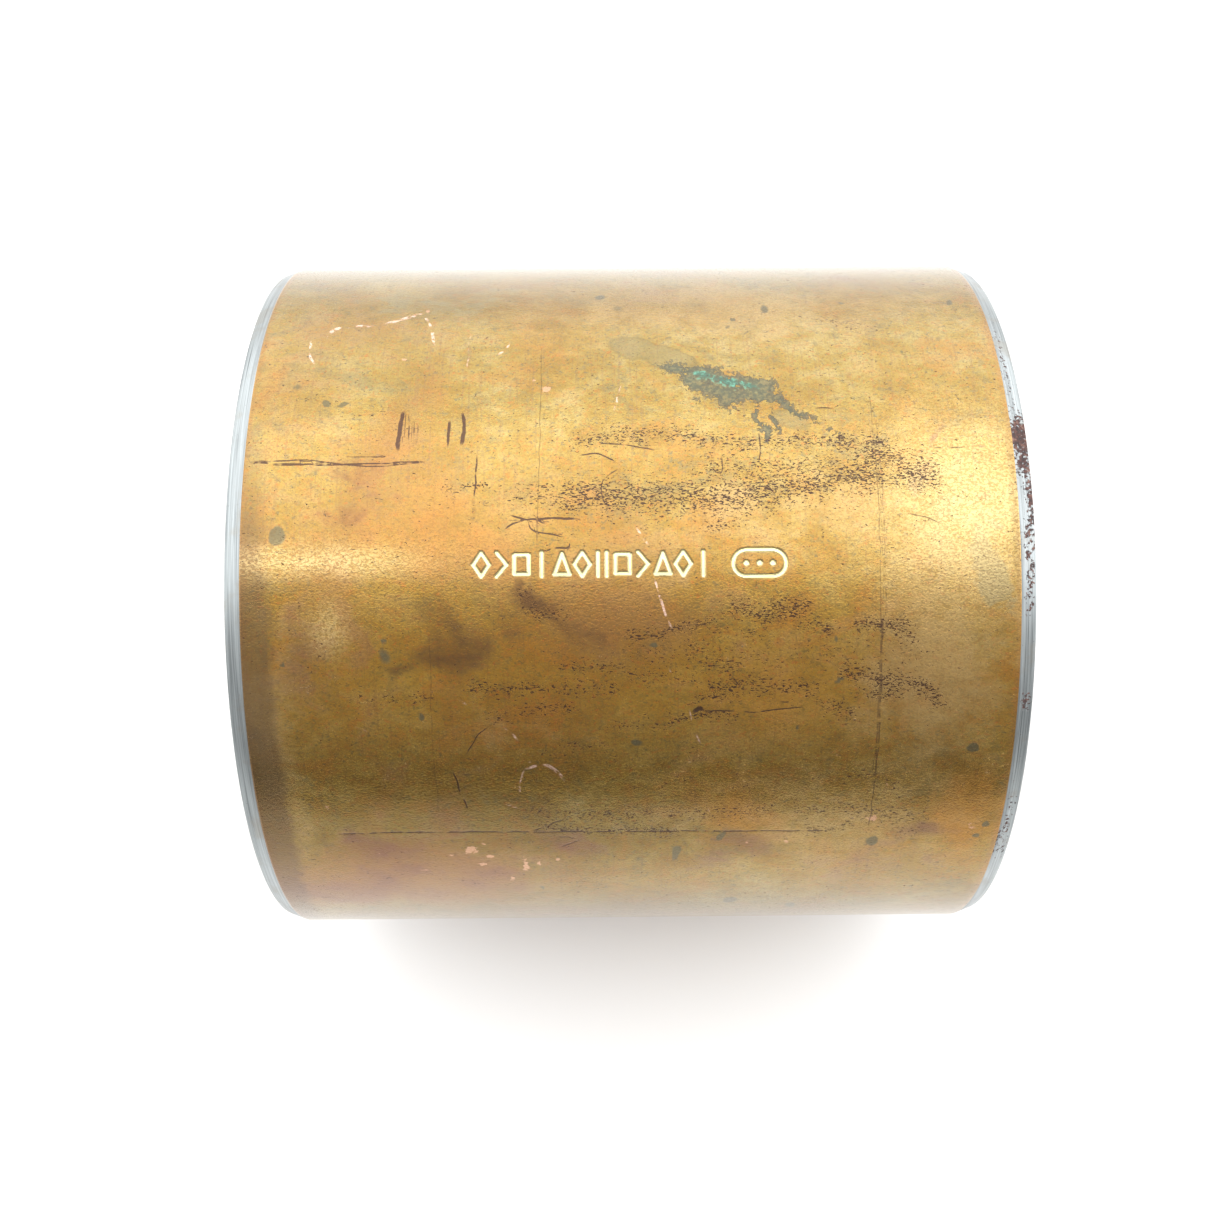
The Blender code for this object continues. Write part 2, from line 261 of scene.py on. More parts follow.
# Soft patches of colour, laid on in this order: the colour, how strongly it covers, and its
# shapes: x, around, half length, half height, turn in degrees and strength
PATCHES = {
    "copper": ((0.33, 0.15, 0.048), 0.60, [
        (-26, -13, 3.0, 4.0, 0, 0.7), (-23.5, -21, 2.0, 7.0, 20, 0.8), (-20, -33, 1.8, 6.5, 18, 0.55),
        (-32, -47, 6, 7, 0, 0.45), (-22, -45, 5, 5, 0, 0.4), (-8, -17, 6, 3, 0, 0.35),
        (-30, -6, 7, 9, 0, 0.6), (-34, -34, 5, 16, 0, 0.5), (-14, -5, 11, 5, 0, 0.75),
        (-2, 1, 10, 5, 0, 0.8), (-21, -12, 12, 6, 0, 0.6), (-4, -6, 14, 4, 0, 0.6),
        (-24, 50, 14, 7, 0, 1.0), (-30, -44, 8, 6, 0, 0.6), (-25.5, 34, 1.2, 12, 0, 0.6),
        (-17, 14, 1.6, 8, 0, 0.4), (-27.2, 1, 0.7, 7, 0, 1.1), (-30, 17, 6, 5, 0, 0.3),
        (-10, 20, 9, 4, 0, 0.3), (12, 21, 10, 4, 0, 0.35), (20, 10, 9, 5, 0, 0.35),
    ]),
    "orange": ((0.50, 0.21, 0.025), 0.6, [
        (11.5, 35, 4.5, 3, 0, 0.8), (35, 36, 3.0, 5, 0, 0.9), (14, 15, 9, 3, 0, 0.5),
        (27, -33, 6, 4, 20, 0.35), (-7, -38, 4, 4, 0, 0.4), (10, 30, 8, 2, 0, 0.35),
        (-36.8, -30, 1.2, 9, 0, 0.5), (28, -22, 3, 3, 0, 0.4), (-19, -8, 12, 6, 0, 0.5),
    ]),
    # Pale patches: those on the right and just above the stamp are painted highlight where the light's
    # reflection falls; the rest are paler tarnish
    "pale_and_highlight": ((0.50, 0.325, 0.125), 0.7, [
        (29, 10, 6, 12, 0, 0.8), (-36, 20, 2.6, 12, 0, 0.7), (21, -13, 6, 4, 0, 0.6),
        (10, -9.5, 5, 3, 0, 0.7), (36, 0, 3, 9, 0, 0.6), (23, 37, 11, 8, 0, 0.6), (8, -50, 24, 5, 0, 0.7),
        (-12, 20, 4, 3, 0, 0.4), (4, 36, 5, 2, 0, 0.5),
    ]),
    "plum": ((0.20, 0.085, 0.055), 0.75, [
        (-27, 43, 4.5, 2.4, 0, 0.7), (-28, 41, 1.4, 5, 0, 0.6), (-24, 47, 5, 2, 0, 0.6),
        (-30, 52, 12, 4, 0, 0.6), (-7, 42, 3.4, 2.2, 0, 0.7), (-5.6, 40, 1.0, 3.0, 20, 0.6),
        (12, 42, 4.0, 2.8, 0, 0.65), (9, 45, 2.0, 3.2, 10, 0.5), (31, 37.5, 3.4, 1.4, 0, 0.7),
        (28, 40, 1.2, 2.6, 20, 0.5), (28.6, -17.4, 2.4, 1.4, -20, 0.6), (30, -24.4, 0.6, 1.2, 20, 0.8),
        (34.4, -13, 0.5, 0.8, 0, 1.0), (-33, 8, 4, 5, 0, 0.5), (-18, 33, 5, 6, 0, 0.35),
        (-15, 50, 9, 3, 0, 0.5), (26, 47, 9, 4, 0, 0.4), (-24, -15, 3, 4, 0, 0.4),
        (-24, 24, 2, 6, 0, 0.25), (-29, 53, 6, 3, 0, 0.4), (4, -56, 9, 3, 0, 0.35),
        (25, -60, 9, 3, 0, 0.4), (-14, -58, 9, 3, 0, 0.35),
    ]),
    "stain": ((0.115, 0.050, 0.014), 0.85, [
        (-8.6, 2.6, 2.8, 1.5, 0, 0.85), (-11, 6, 4, 2.5, 0, 0.45), (-4, 3.5, 7, 2.5, 0, 0.35),
        (-10.2, 0.8, 0.5, 1.6, 0, 0.8), (-4, 3.8, 3, 0.8, 10, 0.5), (-19.5, 8.2, 3.8, 2.0, 0, 0.85),
        (-19.2, 5.4, 2.0, 1.8, 0, 0.6), (-23, 10.0, 2.6, 0.9, 0, 0.6), (-12, 9, 4, 1.6, 0, 0.3),
        (-37.5, 27, 1.5, 20, 0, 0.3), (-35.5, 50, 2.4, 5, 0, 0.35), (-26.4, -14, 1.8, 8, 12, 0.35),
        (-22.6, -36, 2.2, 7, 22, 0.25), (-37.2, 6, 0.6, 4, 0, 0.5), (5, 0.5, 3.5, 1.6, 0, 0.3),
        (8.2, -22.8, 1.4, 1.3, 0, 0.35),
    ]),
    "haze": ((0.28, 0.235, 0.115), 0.6, [
        (36.6, -0.6, 1.5, 3.4, 0, 1.0), (35.4, -4.2, 0.9, 1.6, 25, 0.8), (37.3, -7, 0.6, 2.4, 0, 0.8),
        (36.6, 5, 1.2, 2, 0, 0.5), (36.3, -22.3, 1.2, 1.2, 0, 0.6), (21, -36, 3, 3.5, 0, 0.3),
        (-19, -53, 12, 2.5, 0, 0.6), (-37, 20, 1.0, 14, 0, 0.35),
    ]),
    "band": ((0.135, 0.075, 0.036), 0.6, [(-37.4, 28, 1.9, 30, 0, 1.0)]),
    "spot": ((0.13, 0.115, 0.060), 0.85, [
        (-34.7, -8.3, 0.68, 1.05, 0, 1.0), (-30.6, -29, 0.45, 0.25, 0, 0.9),
        (-29, -28.8, 0.6, 0.3, -20, 0.9), (-32.6, -29, 0.3, 0.3, 0, 0.6),
        (-33.7, -31.5, 0.7, 0.8, 0, 0.5), (-27.6, -39, 0.5, 1.4, 0, 0.45),
        (-27.4, -34.4, 0.4, 1.0, 0, 0.4), (-24.4, -34.4, 0.4, 1.0, 0, 0.4),
        (-34, -54.6, 0.5, 0.7, 0, 0.5), (-3, -54, 0.6, 0.6, 0, 0.8), (-1, -50, 0.8, 1.2, 0, 0.5),
        (-34.2, 9.8, 0.35, 0.35, 0, 0.8), (-24.3, 9, 1.0, 1.2, 0, 0.6), (-24.4, 6.8, 0.5, 0.4, 0, 0.7),
        (-21, 17.6, 0.35, 0.35, 0, 0.7), (31, -25, 0.7, 0.9, 0, 0.5), (2.1, 7.6, 0.3, 0.4, 0, 0.8),
        (20.4, 12.6, 0.4, 0.4, 0, 0.8), (20.2, 6.6, 0.4, 0.5, 0, 0.6), (16.7, 19.8, 0.3, 0.35, 0, 0.8),
        (0.5, 22, 0.4, 0.4, 0, 0.8), (34.3, 23.6, 0.55, 0.5, 0, 0.95), (37.4, 11, 0.4, 1.6, 0, 0.5),
        (9.4, 39.9, 0.36, 0.7, 12, 1.0), (25.1, 41.3, 0.55, 0.85, 15, 1.0),
        (4.6, 43.9, 0.35, 1.3, 10, 0.95), (35.9, 40.2, 0.3, 0.35, 0, 0.9),
        (36.9, 37.3, 0.3, 0.35, 0, 0.8), (11, -46.8, 0.4, 0.4, 0, 0.8), (10.5, -44.6, 0.35, 0.4, 0, 0.7),
        (14.9, -49.8, 0.5, 1.2, 0, 0.7), (23.3, -51.6, 0.7, 0.7, 0, 0.6), (34.9, -51.2, 0.5, 1.0, 0, 0.7),
        (28.5, -38.6, 0.4, 0.5, 0, 0.6), (23, -45.4, 0.8, 1.0, 0, 0.4), (11, 60, 0.8, 1.0, 0, 0.9),
        (18, 63, 0.7, 0.9, 0, 0.7), (-10, 54, 0.4, 0.9, 0, 0.6),
    ]),
    "film": ((0.085, 0.090, 0.034), 0.9, [
        (4.8, -35.2, 1.5, 0.8, 20, 0.95), (8.0, -33.6, 3.2, 1.2, 17, 1.0),
        (12.2, -32.2, 3.0, 1.1, 15, 1.0), (7.4, -31.8, 3.0, 0.9, 36, 0.95),
        (9.8, -30.2, 2.4, 1.5, 24, 1.0), (12.4, -30.2, 2.2, 1.0, 10, 1.0),
        (15.4, -28.8, 1.9, 0.7, 38, 0.95), (12.9, -26.6, 0.32, 1.6, -6, 0.85),
        (13.6, -23.6, 0.30, 1.5, -12, 0.75), (14.6, -25.4, 0.28, 1.7, -14, 0.75),
        (17.6, -26.4, 2.0, 0.35, 34, 0.6), (20.2, -24, 0.9, 0.3, 30, 0.5),
    ]),
}

# The pale olive smear above the verdigris, and the turquoise in its middle: shapes as above
SMEAR = [
    (1.2, -39.4, 2.6, 1.5, 20, 0.9), (4.2, -37.2, 2.8, 1.5, 24, 0.95), (16.4, -25.6, 2.6, 1.3, 30, 0.6),
]
VERDIGRIS = [
    (7.8, -33.7, 1.5, 0.5, 22, 0.9), (10.2, -32.4, 2.0, 0.7, 18, 1.0), (12.2, -31.8, 0.9, 0.4, 14, 0.8),
]

# Broad zones, all round the axis: paler and more yellow, mostly painted highlight where the light's
# reflection falls and partly faded tarnish; deeper and warmer, painted shade in the dark band below the
# middle; and dull grey-green, painted shade where dim surroundings reflect, with some grey-green tarnish
# low on the left
FADED_AND_HIGHLIT_ZONES = [
    (0, -35, 400, 17, 0, 1.0), (0, 54, 400, 8, 0, 0.5), (0, 160, 400, 14, 0, 0.8),
    (32, -12, 11, 14, 0, 1.0), (31, 10, 10, 18, 0, 0.75), (-38, 28, 4, 20, 0, 1.0),
    (8, 37, 30, 3, 0, 0.7), (30, 37, 14, 9, 0, 0.6),
]
SHADE_DEEPENED_ZONES = [(0, 11, 400, 9, 0, 1.0), (0, 110, 400, 16, 0, 0.9), (0, -150, 400, 14, 0, 0.8)]
GREY_AND_SHADED_ZONES = [
    (-16, 42, 26, 8, 0, 1.0), (-24, 54, 24, 9, 0, 1.0), (0, 64, 400, 9, 0, 0.9), (0, -72, 400, 9, 0, 1.0),
    (4, 33, 12, 2.4, 0, 0.5), (0, 128, 400, 5, 0, 0.8), (0, -112, 400, 6, 0, 0.8),
]

# Painted highlights: bright gold laid into the colour where the light's reflection falls, on the left and
# the right
HIGHLIGHT_PATCHES = [(-31, -4.6, 8, 1.2, 0, 0.7), (34, -13, 7, 6.5, 0, 0.65), (-29.6, 5, 1.7, 2.0, 0, 0.5)]

# The marks with sharp edges that only the camera's side has
SHARP_MARKS = {"painted_highlight": HIGHLIGHT_PATCHES, "smear": SMEAR, "verdigris": VERDIGRIS, "rubbed": RUBBED}

# Rust on the bare steel
RUST = [
    (39.2, -22.6, 1.6, 2.4, 0, 0.95), (39.4, -18.4, 0.9, 2.0, 0, 0.8), (39.7, -13, 0.5, 4.4, 0, 0.75),
    (39.2, -8, 0.5, 1.8, 0, 0.6), (39.1, -4.8, 0.35, 0.5, 0, 0.85), (39.5, -3.2, 0.3, 0.6, 0, 0.85),
    (39.0, -2.0, 0.3, 0.4, 0, 0.8), (39.4, -0.8, 0.35, 0.5, 0, 0.9), (39.1, 0.8, 0.3, 0.5, 0, 0.8),
    (39.5, 2.0, 0.3, 0.4, 0, 0.8), (39.1, 3.4, 0.3, 0.4, 0, 0.7), (38.9, -36, 0.4, 7, 0, 0.42),
    (39.1, 38, 0.5, 5, 0, 0.45), (39.2, 16.5, 0.5, 0.9, 0, 0.75), (38.5, 41, 0.25, 2.6, 0, 0.7),
    (39.5, 44, 0.3, 1.2, 0, 0.6),
]

# Marks on the sides turned away from the camera, drawn at random: how many of each
HIDDEN_SEED = 12
HIDDEN_SCRATCHES = 15
HIDDEN_BANDS = 13
HIDDEN_PATCHES = {"copper": 9, "orange": 7, "pale_and_highlight": 5, "plum": 8, "stain": 6, "haze": 3}
HIDDEN_SPOTS = {"band": 0, "spot": 22, "film": 2}
HIDDEN_RUST = 9
HIDDEN_REACH = 34
RUST_X = 39.3
# The half sizes that a patch and a spot may have
PATCH_SIZES = (3.0, 8.0)
SPOT_SIZES = (0.3, 0.9)


def hidden_place(draw):
    """A place out of the camera's sight, clear of the line opposite it where degrees wrap."""
    x = draw.uniform(-HIDDEN_REACH, HIDDEN_REACH)
    return x, draw.choice((-1, 1)) * draw.uniform(86, 166)


def hidden_line(draw, shortest, longest):
    """A slightly bent line, along the axis or slantwise."""
    x, around = hidden_place(draw)
    length = draw.uniform(shortest, longest)
    slope = draw.choice((0.05, 0.15, 0.9, 2.5)) * draw.choice((-1, 1))
    run_x = min(length / math.hypot(1, slope), HIDDEN_REACH - x)
    bend = draw.uniform(-0.6, 0.6)
    middle = (x + run_x / 2, around + run_x * slope / 2 / MM_PER_DEGREE + bend)
    return [(x, around), middle, (x + run_x, around + run_x * slope / MM_PER_DEGREE)]


def hidden_scratch(draw):
    width, strength = draw.uniform(0.1, 0.3), draw.uniform(0.5, 1)
    return width, strength, hidden_line(draw, 2, 9)


def hidden_band(draw):
    """A band of flecks along the axis."""
    width, strength = draw.uniform(0.4, 1.7), draw.uniform(0.5, 1)
    x, around = hidden_place(draw)
    end = min(x + draw.uniform(5, 24), HIDDEN_REACH)
    return width, strength, [(x, around), (end, around + draw.uniform(-3, 3))]


def hidden_patch(draw, sizes):
    x, around = hidden_place(draw)
    return x, around, draw.uniform(*sizes), draw.uniform(*sizes), draw.uniform(-30, 30), 0.8


def hidden_rust(draw):
    _, around = hidden_place(draw)
    x = draw.choice((-1, 1)) * RUST_X
    return x, around, draw.uniform(0.3, 0.9), draw.uniform(0.4, 2.5), 0, 0.9


def all_marks():
    """The listed marks, with the random ones of the hidden sides added to them."""
    draw = random.Random(HIDDEN_SEED)
    marks = {}
    for name, scratches in (("dark scratches", DARK_SCRATCHES), ("bright scratches", BRIGHT_SCRATCHES)):
        marks[name] = scratches + [hidden_scratch(draw) for _ in range(HIDDEN_SCRATCHES)]
    marks["flecks"] = FLECK_BANDS + [hidden_band(draw) for _ in range(HIDDEN_BANDS)]
    for counts, sizes in ((HIDDEN_PATCHES, PATCH_SIZES), (HIDDEN_SPOTS, SPOT_SIZES)):
        for name, count in counts.items():
            marks[name] = PATCHES[name][2] + [hidden_patch(draw, sizes) for _ in range(count)]
    marks["rust"] = RUST + [hidden_rust(draw) for _ in range(HIDDEN_RUST)]
    return marks


MARKS = all_marks()

# The stamp: plain punch marks, as lines in a square of side 1, with x first and around second
PUNCHES = {
    "bar": [[(0, -0.5), (0, 0.5)]],
    "pair": [[(-0.18, -0.5), (-0.18, 0.5)], [(0.18, -0.5), (0.18, 0.5)]],
    "square": [[(-0.3, -0.4), (0.3, -0.4), (0.3, 0.4), (-0.3, 0.4), (-0.3, -0.4)]],
    "diamond": [[(0, -0.5), (0.33, 0), (0, 0.5), (-0.33, 0), (0, -0.5)]],
    "triangle": [[(-0.32, 0.42), (0, -0.45), (0.32, 0.42), (-0.32, 0.42)]],
    "chevron": [[(-0.2, -0.5), (0.22, 0), (-0.2, 0.5)]],
}
PUNCH_ROW = (
    "diamond chevron square bar triangle diamond pair square chevron triangle diamond bar".split()
)
PUNCH_START = -14.7
PUNCH_PITCH = 1.98
PUNCH_HEIGHT = 2.35
PUNCH_AROUND = -4.0
PUNCH_WIDTH = 0.4
PUNCH_DEPTH = 0.12
BADGE_X = 12.6
BADGE_HALF_LENGTH = 2.6
BADGE_RADIUS = 1.3
BADGE_STEPS = 32
BADGE_DOT_PITCH = 1.3
BADGE_DOT_WIDTH = 0.6
# The strip of the skin that holds the stamp, and the wider pocket where what lies under it makes
# way: its size, over what length it deepens at its ends, and its depth in the skin and the steel
STAMP_HALF_LENGTH = 17
STAMP_HALF_HEIGHT = 3
POCKET_HALF_LENGTH = 17.5
POCKET_HALF_HEIGHT = 4.6
POCKET_SLOPE = 1
SKIN_POCKET = 0.15
STEEL_POCKET = 0.2
RIM_WIDTH = 0.08
EDGE_SOFTNESS = 0.12


# ---------------------------------------------------------------------------------------------
# Meshes


def new_object(name, faces, material, stands_for, shape=None):
    """Makes a piece from faces given as lists of (x, angle, radius), joined where points agree."""
    ids = {}
    corners = []
    for face in faces:
        corners.append([ids.setdefault(key(point), len(ids)) for point in face])
    points = np.array(list(ids))
    x, angle, radius = points.T
    if shape:
        radius = radius - shape(x, angle, radius)
    mesh = bpy.data.meshes.new(name)
    places = np.stack([x, radius * np.cos(angle), radius * np.sin(angle)], axis=1) * MM
    mesh.from_pydata(places.tolist(), [], corners)
    mesh.shade_smooth()
    mesh.set_sharp_from_angle(angle=math.radians(25))
    mesh.materials.append(material)
    piece = bpy.data.objects.new(name, mesh)
    bpy.context.scene.collection.objects.link(piece)
    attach(piece, "root")
    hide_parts(stands_for)
    return piece, x, angle, radius


def key(point):
    """A point rounded, so that equal ones reached by different sums are one vertex."""
    return tuple(round(value, 6) for value in point)


def around_of(angle):
    """Degrees round from the camera-facing line, for angles about +X from +Y towards +Z."""
    return (np.degrees(angle - FACING) + 180) % 360 - 180


def wobble(x, around, size, seed):
    """Smooth noise over the skin, from -1 to 1, with waves of about a size in millimetres."""
    lattice = np.random.default_rng(seed).uniform(-1, 1, (LATTICE, LATTICE))
    u, v = x / size, around * MM_PER_DEGREE / size
    i, j = np.floor(u).astype(int), np.floor(v).astype(int)
    s, t = (share * share * (3 - 2 * share) for share in (u - i, v - j))
    left, right = i % LATTICE, (i + 1) % LATTICE
    below, above = j % LATTICE, (j + 1) % LATTICE
    low = lattice[left, below] * (1 - s) + lattice[right, below] * s
    high = lattice[left, above] * (1 - s) + lattice[right, above] * s
    return low * (1 - t) + high * t


def shaken(x, around, amount, size, seed):
    """Places moved by up to an amount, so that what is drawn there comes out irregular."""
    moved_x = x + amount * wobble(x, around, size, seed)
    moved_around = around + amount * wobble(x, around, size, seed + 1) / MM_PER_DEGREE
    return moved_x, moved_around


def curved(line, steps=5):
    """A line's corners, with the points of a smooth curve through them in between."""
    if len(line) < 3:
        return line
    points = np.array([line[0], *line, line[-1]], float)
    curve = []
    for a, b, c, d in zip(points, points[1:], points[2:], points[3:]):
        for t in np.arange(steps) / steps:
            bend = (2 * a - 5 * b + 4 * c - d) * t * t + (3 * b - a - 3 * c + d) * t**3
            curve.append(tuple(b + ((c - a) * t + bend) / 2))
    return [*curve, line[-1]]


def beside_line(x, around, line):
    """How each place on the skin lies to a line of (x, around) corners, in millimetres: how far
    away it is, how far off to one side, and how far in from the line's nearer end."""
    place = np.stack([x, around * MM_PER_DEGREE], axis=-1)
    corners = np.array(line, float) * (1, MM_PER_DEGREE)
    distance = np.full(x.shape, np.inf)
    side, travelled = np.zeros(x.shape), np.zeros(x.shape)
    passed = 0
    for start, end in zip(corners, corners[1:]):
        length = max(np.linalg.norm(end - start), TINY)
        direction = (end - start) / length
        ahead = (place - start) @ direction
        across = (place - start) @ (-direction[1], direction[0])
        on_line = np.clip(ahead, 0, length)[..., None] * direction
        away = np.linalg.norm(place - start - on_line, axis=-1)
        nearer = away < distance
        distance = np.where(nearer, away, distance)
        side = np.where(nearer, across, side)
        travelled = np.where(nearer, passed + ahead, travelled)
        passed += length
    return distance, side, np.minimum(travelled, passed - travelled)


def line_distance(x, around, line):
    """Distance in millimetres over the skin from each place to a line of (x, around) corners."""
    return beside_line(x, around, line)[0]


def smooth_edge(distance, half_width, softness):
    """1 within half_width of a line, falling smoothly to 0 over softness."""
    share = np.clip((half_width + softness / 2 - distance) / softness, 0, 1)
    return share * share * (3 - 2 * share)


def punch_lines():
    """Every line of the stamp as (half width, line), placed on the skin."""
    lines = []
    for index, kind in enumerate(PUNCH_ROW):
        middle = PUNCH_START + PUNCH_PITCH * index
        for shape in PUNCHES[kind]:
            line = [
                (middle + u * PUNCH_HEIGHT, PUNCH_AROUND + v * PUNCH_HEIGHT / MM_PER_DEGREE)
                for u, v in shape
            ]
            lines.append((PUNCH_WIDTH / 2, line))
    for step in (-1, 0, 1):
        dot = (BADGE_X + BADGE_DOT_PITCH * step, PUNCH_AROUND)
        lines.append((BADGE_DOT_WIDTH / 2, [dot, dot]))
    lines.append((PUNCH_WIDTH / 2, badge_outline()))
    return lines


def badge_outline():
    """A plain slot shape with round ends."""
    straight = BADGE_HALF_LENGTH - BADGE_RADIUS
    line = []
    for step in range(BADGE_STEPS + 1):
        turn = math.tau * step / BADGE_STEPS - math.pi / 2
        middle = BADGE_X + (straight if step <= BADGE_STEPS // 2 else -straight)
        x = middle + BADGE_RADIUS * math.cos(turn)
        line.append((x, PUNCH_AROUND + BADGE_RADIUS * math.sin(turn) / MM_PER_DEGREE))
    return [*line, line[0]]


def in_stamp(x, around):
    """Whether a place is in the strip that holds the stamp."""
    return (abs(x) < STAMP_HALF_LENGTH) & (abs(around - PUNCH_AROUND) < STAMP_HALF_HEIGHT)


def in_pocket(x, around):
    """Whether a place is in the strip where what lies under the stamp makes way for it."""
    over = abs(around - PUNCH_AROUND)
    return (abs(x) < POCKET_HALF_LENGTH + TINY) & (over < POCKET_HALF_HEIGHT)


def stamped(x, around, rim=0.0):
    """How fully each place lies in the stamp, widened by a rim, from 0 to 1."""
    found = np.zeros(x.shape)
    near = in_stamp(x, around)
    for half_width, line in punch_lines():
        distance = line_distance(x[near], around[near], line)
        fully = smooth_edge(distance, half_width + rim, EDGE_SOFTNESS)
        found[near] = np.maximum(found[near], fully)
    return found


def scratched(x, around, scratches, gaps):
    """How each place lies to the nearest scratch: how far off its middle, in half widths, how
    strong it is there, and how fully it is cut. Noise breaks scratches up where gaps is high."""
    shaken_x, shaken_around = shaken(x, around, 0.10, 1.1, seed=11)
    whole = np.clip(1.3 - gaps + 1.6 * wobble(x, around, 0.55, seed=13), 0, 1)
    nearest = np.full(x.shape, np.inf)
    side = np.full(x.shape, float(FAR_OFF))
    strength, cut = np.zeros(x.shape), np.zeros(x.shape)
    for width, force, line in scratches:
        near = np.flatnonzero(line_distance(x, around, line) < width / 2 + 1)
        distance, across, inward = beside_line(shaken_x[near], shaken_around[near], curved(line))
        here = force * whole[near] * np.clip(0.3 + inward / SCRATCH_TAPER, 0, 1)
        reach = smooth_edge(distance, width / 2 + SCRATCH_REACH, 0.2)
        closer = distance < nearest[near]
        found = near[closer]
        nearest[found] = distance[closer]
        side[found] = np.clip(across[closer] / (width / 2), -FAR_OFF, FAR_OFF)
        strength[found] = (here * reach)[closer]
        cut[near] = np.maximum(cut[near], here * smooth_edge(distance, width / 2, 0.13))
    return side, strength, cut


def skin_depth(x, angle, radius):
    """How far the skin is pressed in. Under the stamp, its inner side and the steel make way."""
    around = around_of(angle)
    outside = radius > SKIN_RADIUS - TINY
    pressed = np.maximum.reduce([
        DARK_DEPTH * scratched(x, around, MARKS["dark scratches"], DARK_GAPS)[2],
        BRIGHT_DEPTH * scratched(x, around, MARKS["bright scratches"], BRIGHT_GAPS)[2],
        PUNCH_DEPTH * stamped(x, around),
    ])
    return np.where(outside, pressed, SKIN_POCKET * in_pocket(x, around))


def steel_depth(x, angle, radius):
    """How far the steel is pressed in, under the stamp."""
    outside = radius > STEEL_RADIUS - TINY
    return np.where(outside, STEEL_POCKET * in_pocket(x, around_of(angle)), 0)


def wrap_angle(share):
    """The angle at a share of the way round, from one side of the split to the other."""
    half_gap = SPLIT_GAP / SKIN_RADIUS / 2
    return SPLIT_ANGLE + half_gap + share * (math.tau - 2 * half_gap)


def skin_steps():
    """The size of the fine cells that each coarse cell of the skin is cut into."""
    row, column = np.meshgrid(np.arange(SKIN_ROWS), np.arange(SKIN_COLUMNS), indexing="ij")
    x = SKIN_END * (2 * (row + 0.5) / SKIN_ROWS - 1)
    around = around_of(wrap_angle((column + 0.5) / SKIN_COLUMNS))
    steps = np.full(x.shape, FINE_STEPS)
    low_x, high_x, low_around, high_around = VERDIGRIS_ZONE
    inside = (x > low_x) & (x < high_x) & (around > low_around) & (around < high_around)
    steps[inside] = ZONE_STEP
    for shapes, step in ((PATCHES["spot"][2], ZONE_STEP), (RUBBED, SCRATCH_STEP)):
        for spot_x, spot_around, half_length, half_height, _, _ in shapes:
            away = line_distance(x, around, [(spot_x, spot_around)] * 2)
            near = away < max(half_length, half_height) + MARK_MARGIN
            steps[near] = np.minimum(steps[near], step)
    for width, _, line in MARKS["dark scratches"] + MARKS["bright scratches"]:
        near = line_distance(x, around, curved(line)) < width / 2 + MARK_MARGIN
        steps[near] = SCRATCH_STEP
    steps[in_stamp(x, around)] = STAMP_STEP
    steps[[0, -1], :] = FINE_STEPS
    steps[:, [0, -1]] = FINE_STEPS
    return steps


def walk(start, end, step):
    """Lattice points from start up to, but not including, end, along a row or a column."""
    run = (end[0] - start[0], end[1] - start[1])
    count = max(abs(run[0]), abs(run[1])) // step
    return [(start[0] + run[0] * k // count, start[1] + run[1] * k // count) for k in range(count)]


def cut_cell(steps, row, column):
    """A coarse cell's fine faces, with a neighbour's finer points along the sides they share."""
    step = steps[row, column]
    low_i, low_j = row * FINE_STEPS, column * FINE_STEPS
    high_i, high_j = low_i + FINE_STEPS, low_j + FINE_STEPS

    def side(start, end, on_edge, next_row, next_column):
        if not on_edge or not (0 <= next_row < SKIN_ROWS and 0 <= next_column < SKIN_COLUMNS):
            return walk(start, end, step)
        return walk(start, end, min(step, steps[next_row, next_column]))

    faces = []
    for i in range(low_i, high_i, step):
        for j in range(low_j, high_j, step):
            a, b, c, d = (i, j), (i, j + step), (i + step, j + step), (i + step, j)
            faces.append(
                side(a, b, i == low_i, row - 1, column)
                + side(b, c, j + step == high_j, row, column + 1)
                + side(c, d, i + step == high_i, row + 1, column)
                + side(d, a, j == low_j, row, column - 1)
            )
    return faces


def skin_faces():
    """The skin's outer side, its inner side, and the edges between them."""
    inner = SKIN_RADIUS - SKIN_THICKNESS
    inner_end = SKIN_END + SKIN_THICKNESS / math.tan(OUTER_CHAMFER_ANGLE)
    pocket = POCKET_HALF_LENGTH
    slope_end = pocket + POCKET_SLOPE
    inner_x = [-inner_end, -slope_end, -pocket, pocket, slope_end, inner_end]

    def outer_point(i, j):
        x = SKIN_END * (2 * i / (SKIN_ROWS * FINE_STEPS) - 1)
        return (x, wrap_angle(j / (SKIN_COLUMNS * FINE_STEPS)), SKIN_RADIUS)

    def coarse_point(row, column):
        return outer_point(row * FINE_STEPS, column * FINE_STEPS)

    steps = skin_steps()
    faces = []
    for row in range(SKIN_ROWS):
        for column in range(SKIN_COLUMNS):
            faces += [[outer_point(*p) for p in face] for face in cut_cell(steps, row, column)]
    for column in range(SKIN_COLUMNS):
        here, there = (wrap_angle(c / SKIN_COLUMNS) for c in (column, column + 1))
        for low, high in zip(inner_x, inner_x[1:]):
            faces.append(
                [(low, here, inner), (high, here, inner), (high, there, inner), (low, there, inner)]
            )
        for row, x in ((0, -inner_end), (SKIN_ROWS, inner_end)):
            outside = [coarse_point(row, column), coarse_point(row, column + 1)]
            faces.append([*outside, (x, there, inner), (x, here, inner)])
    for column in (0, SKIN_COLUMNS):
        outside = [coarse_point(row, column) for row in range(SKIN_ROWS + 1)]
        angle = wrap_angle(column / SKIN_COLUMNS)
        faces.append([*outside, *((x, angle, inner) for x in reversed(inner_x))])
    return faces


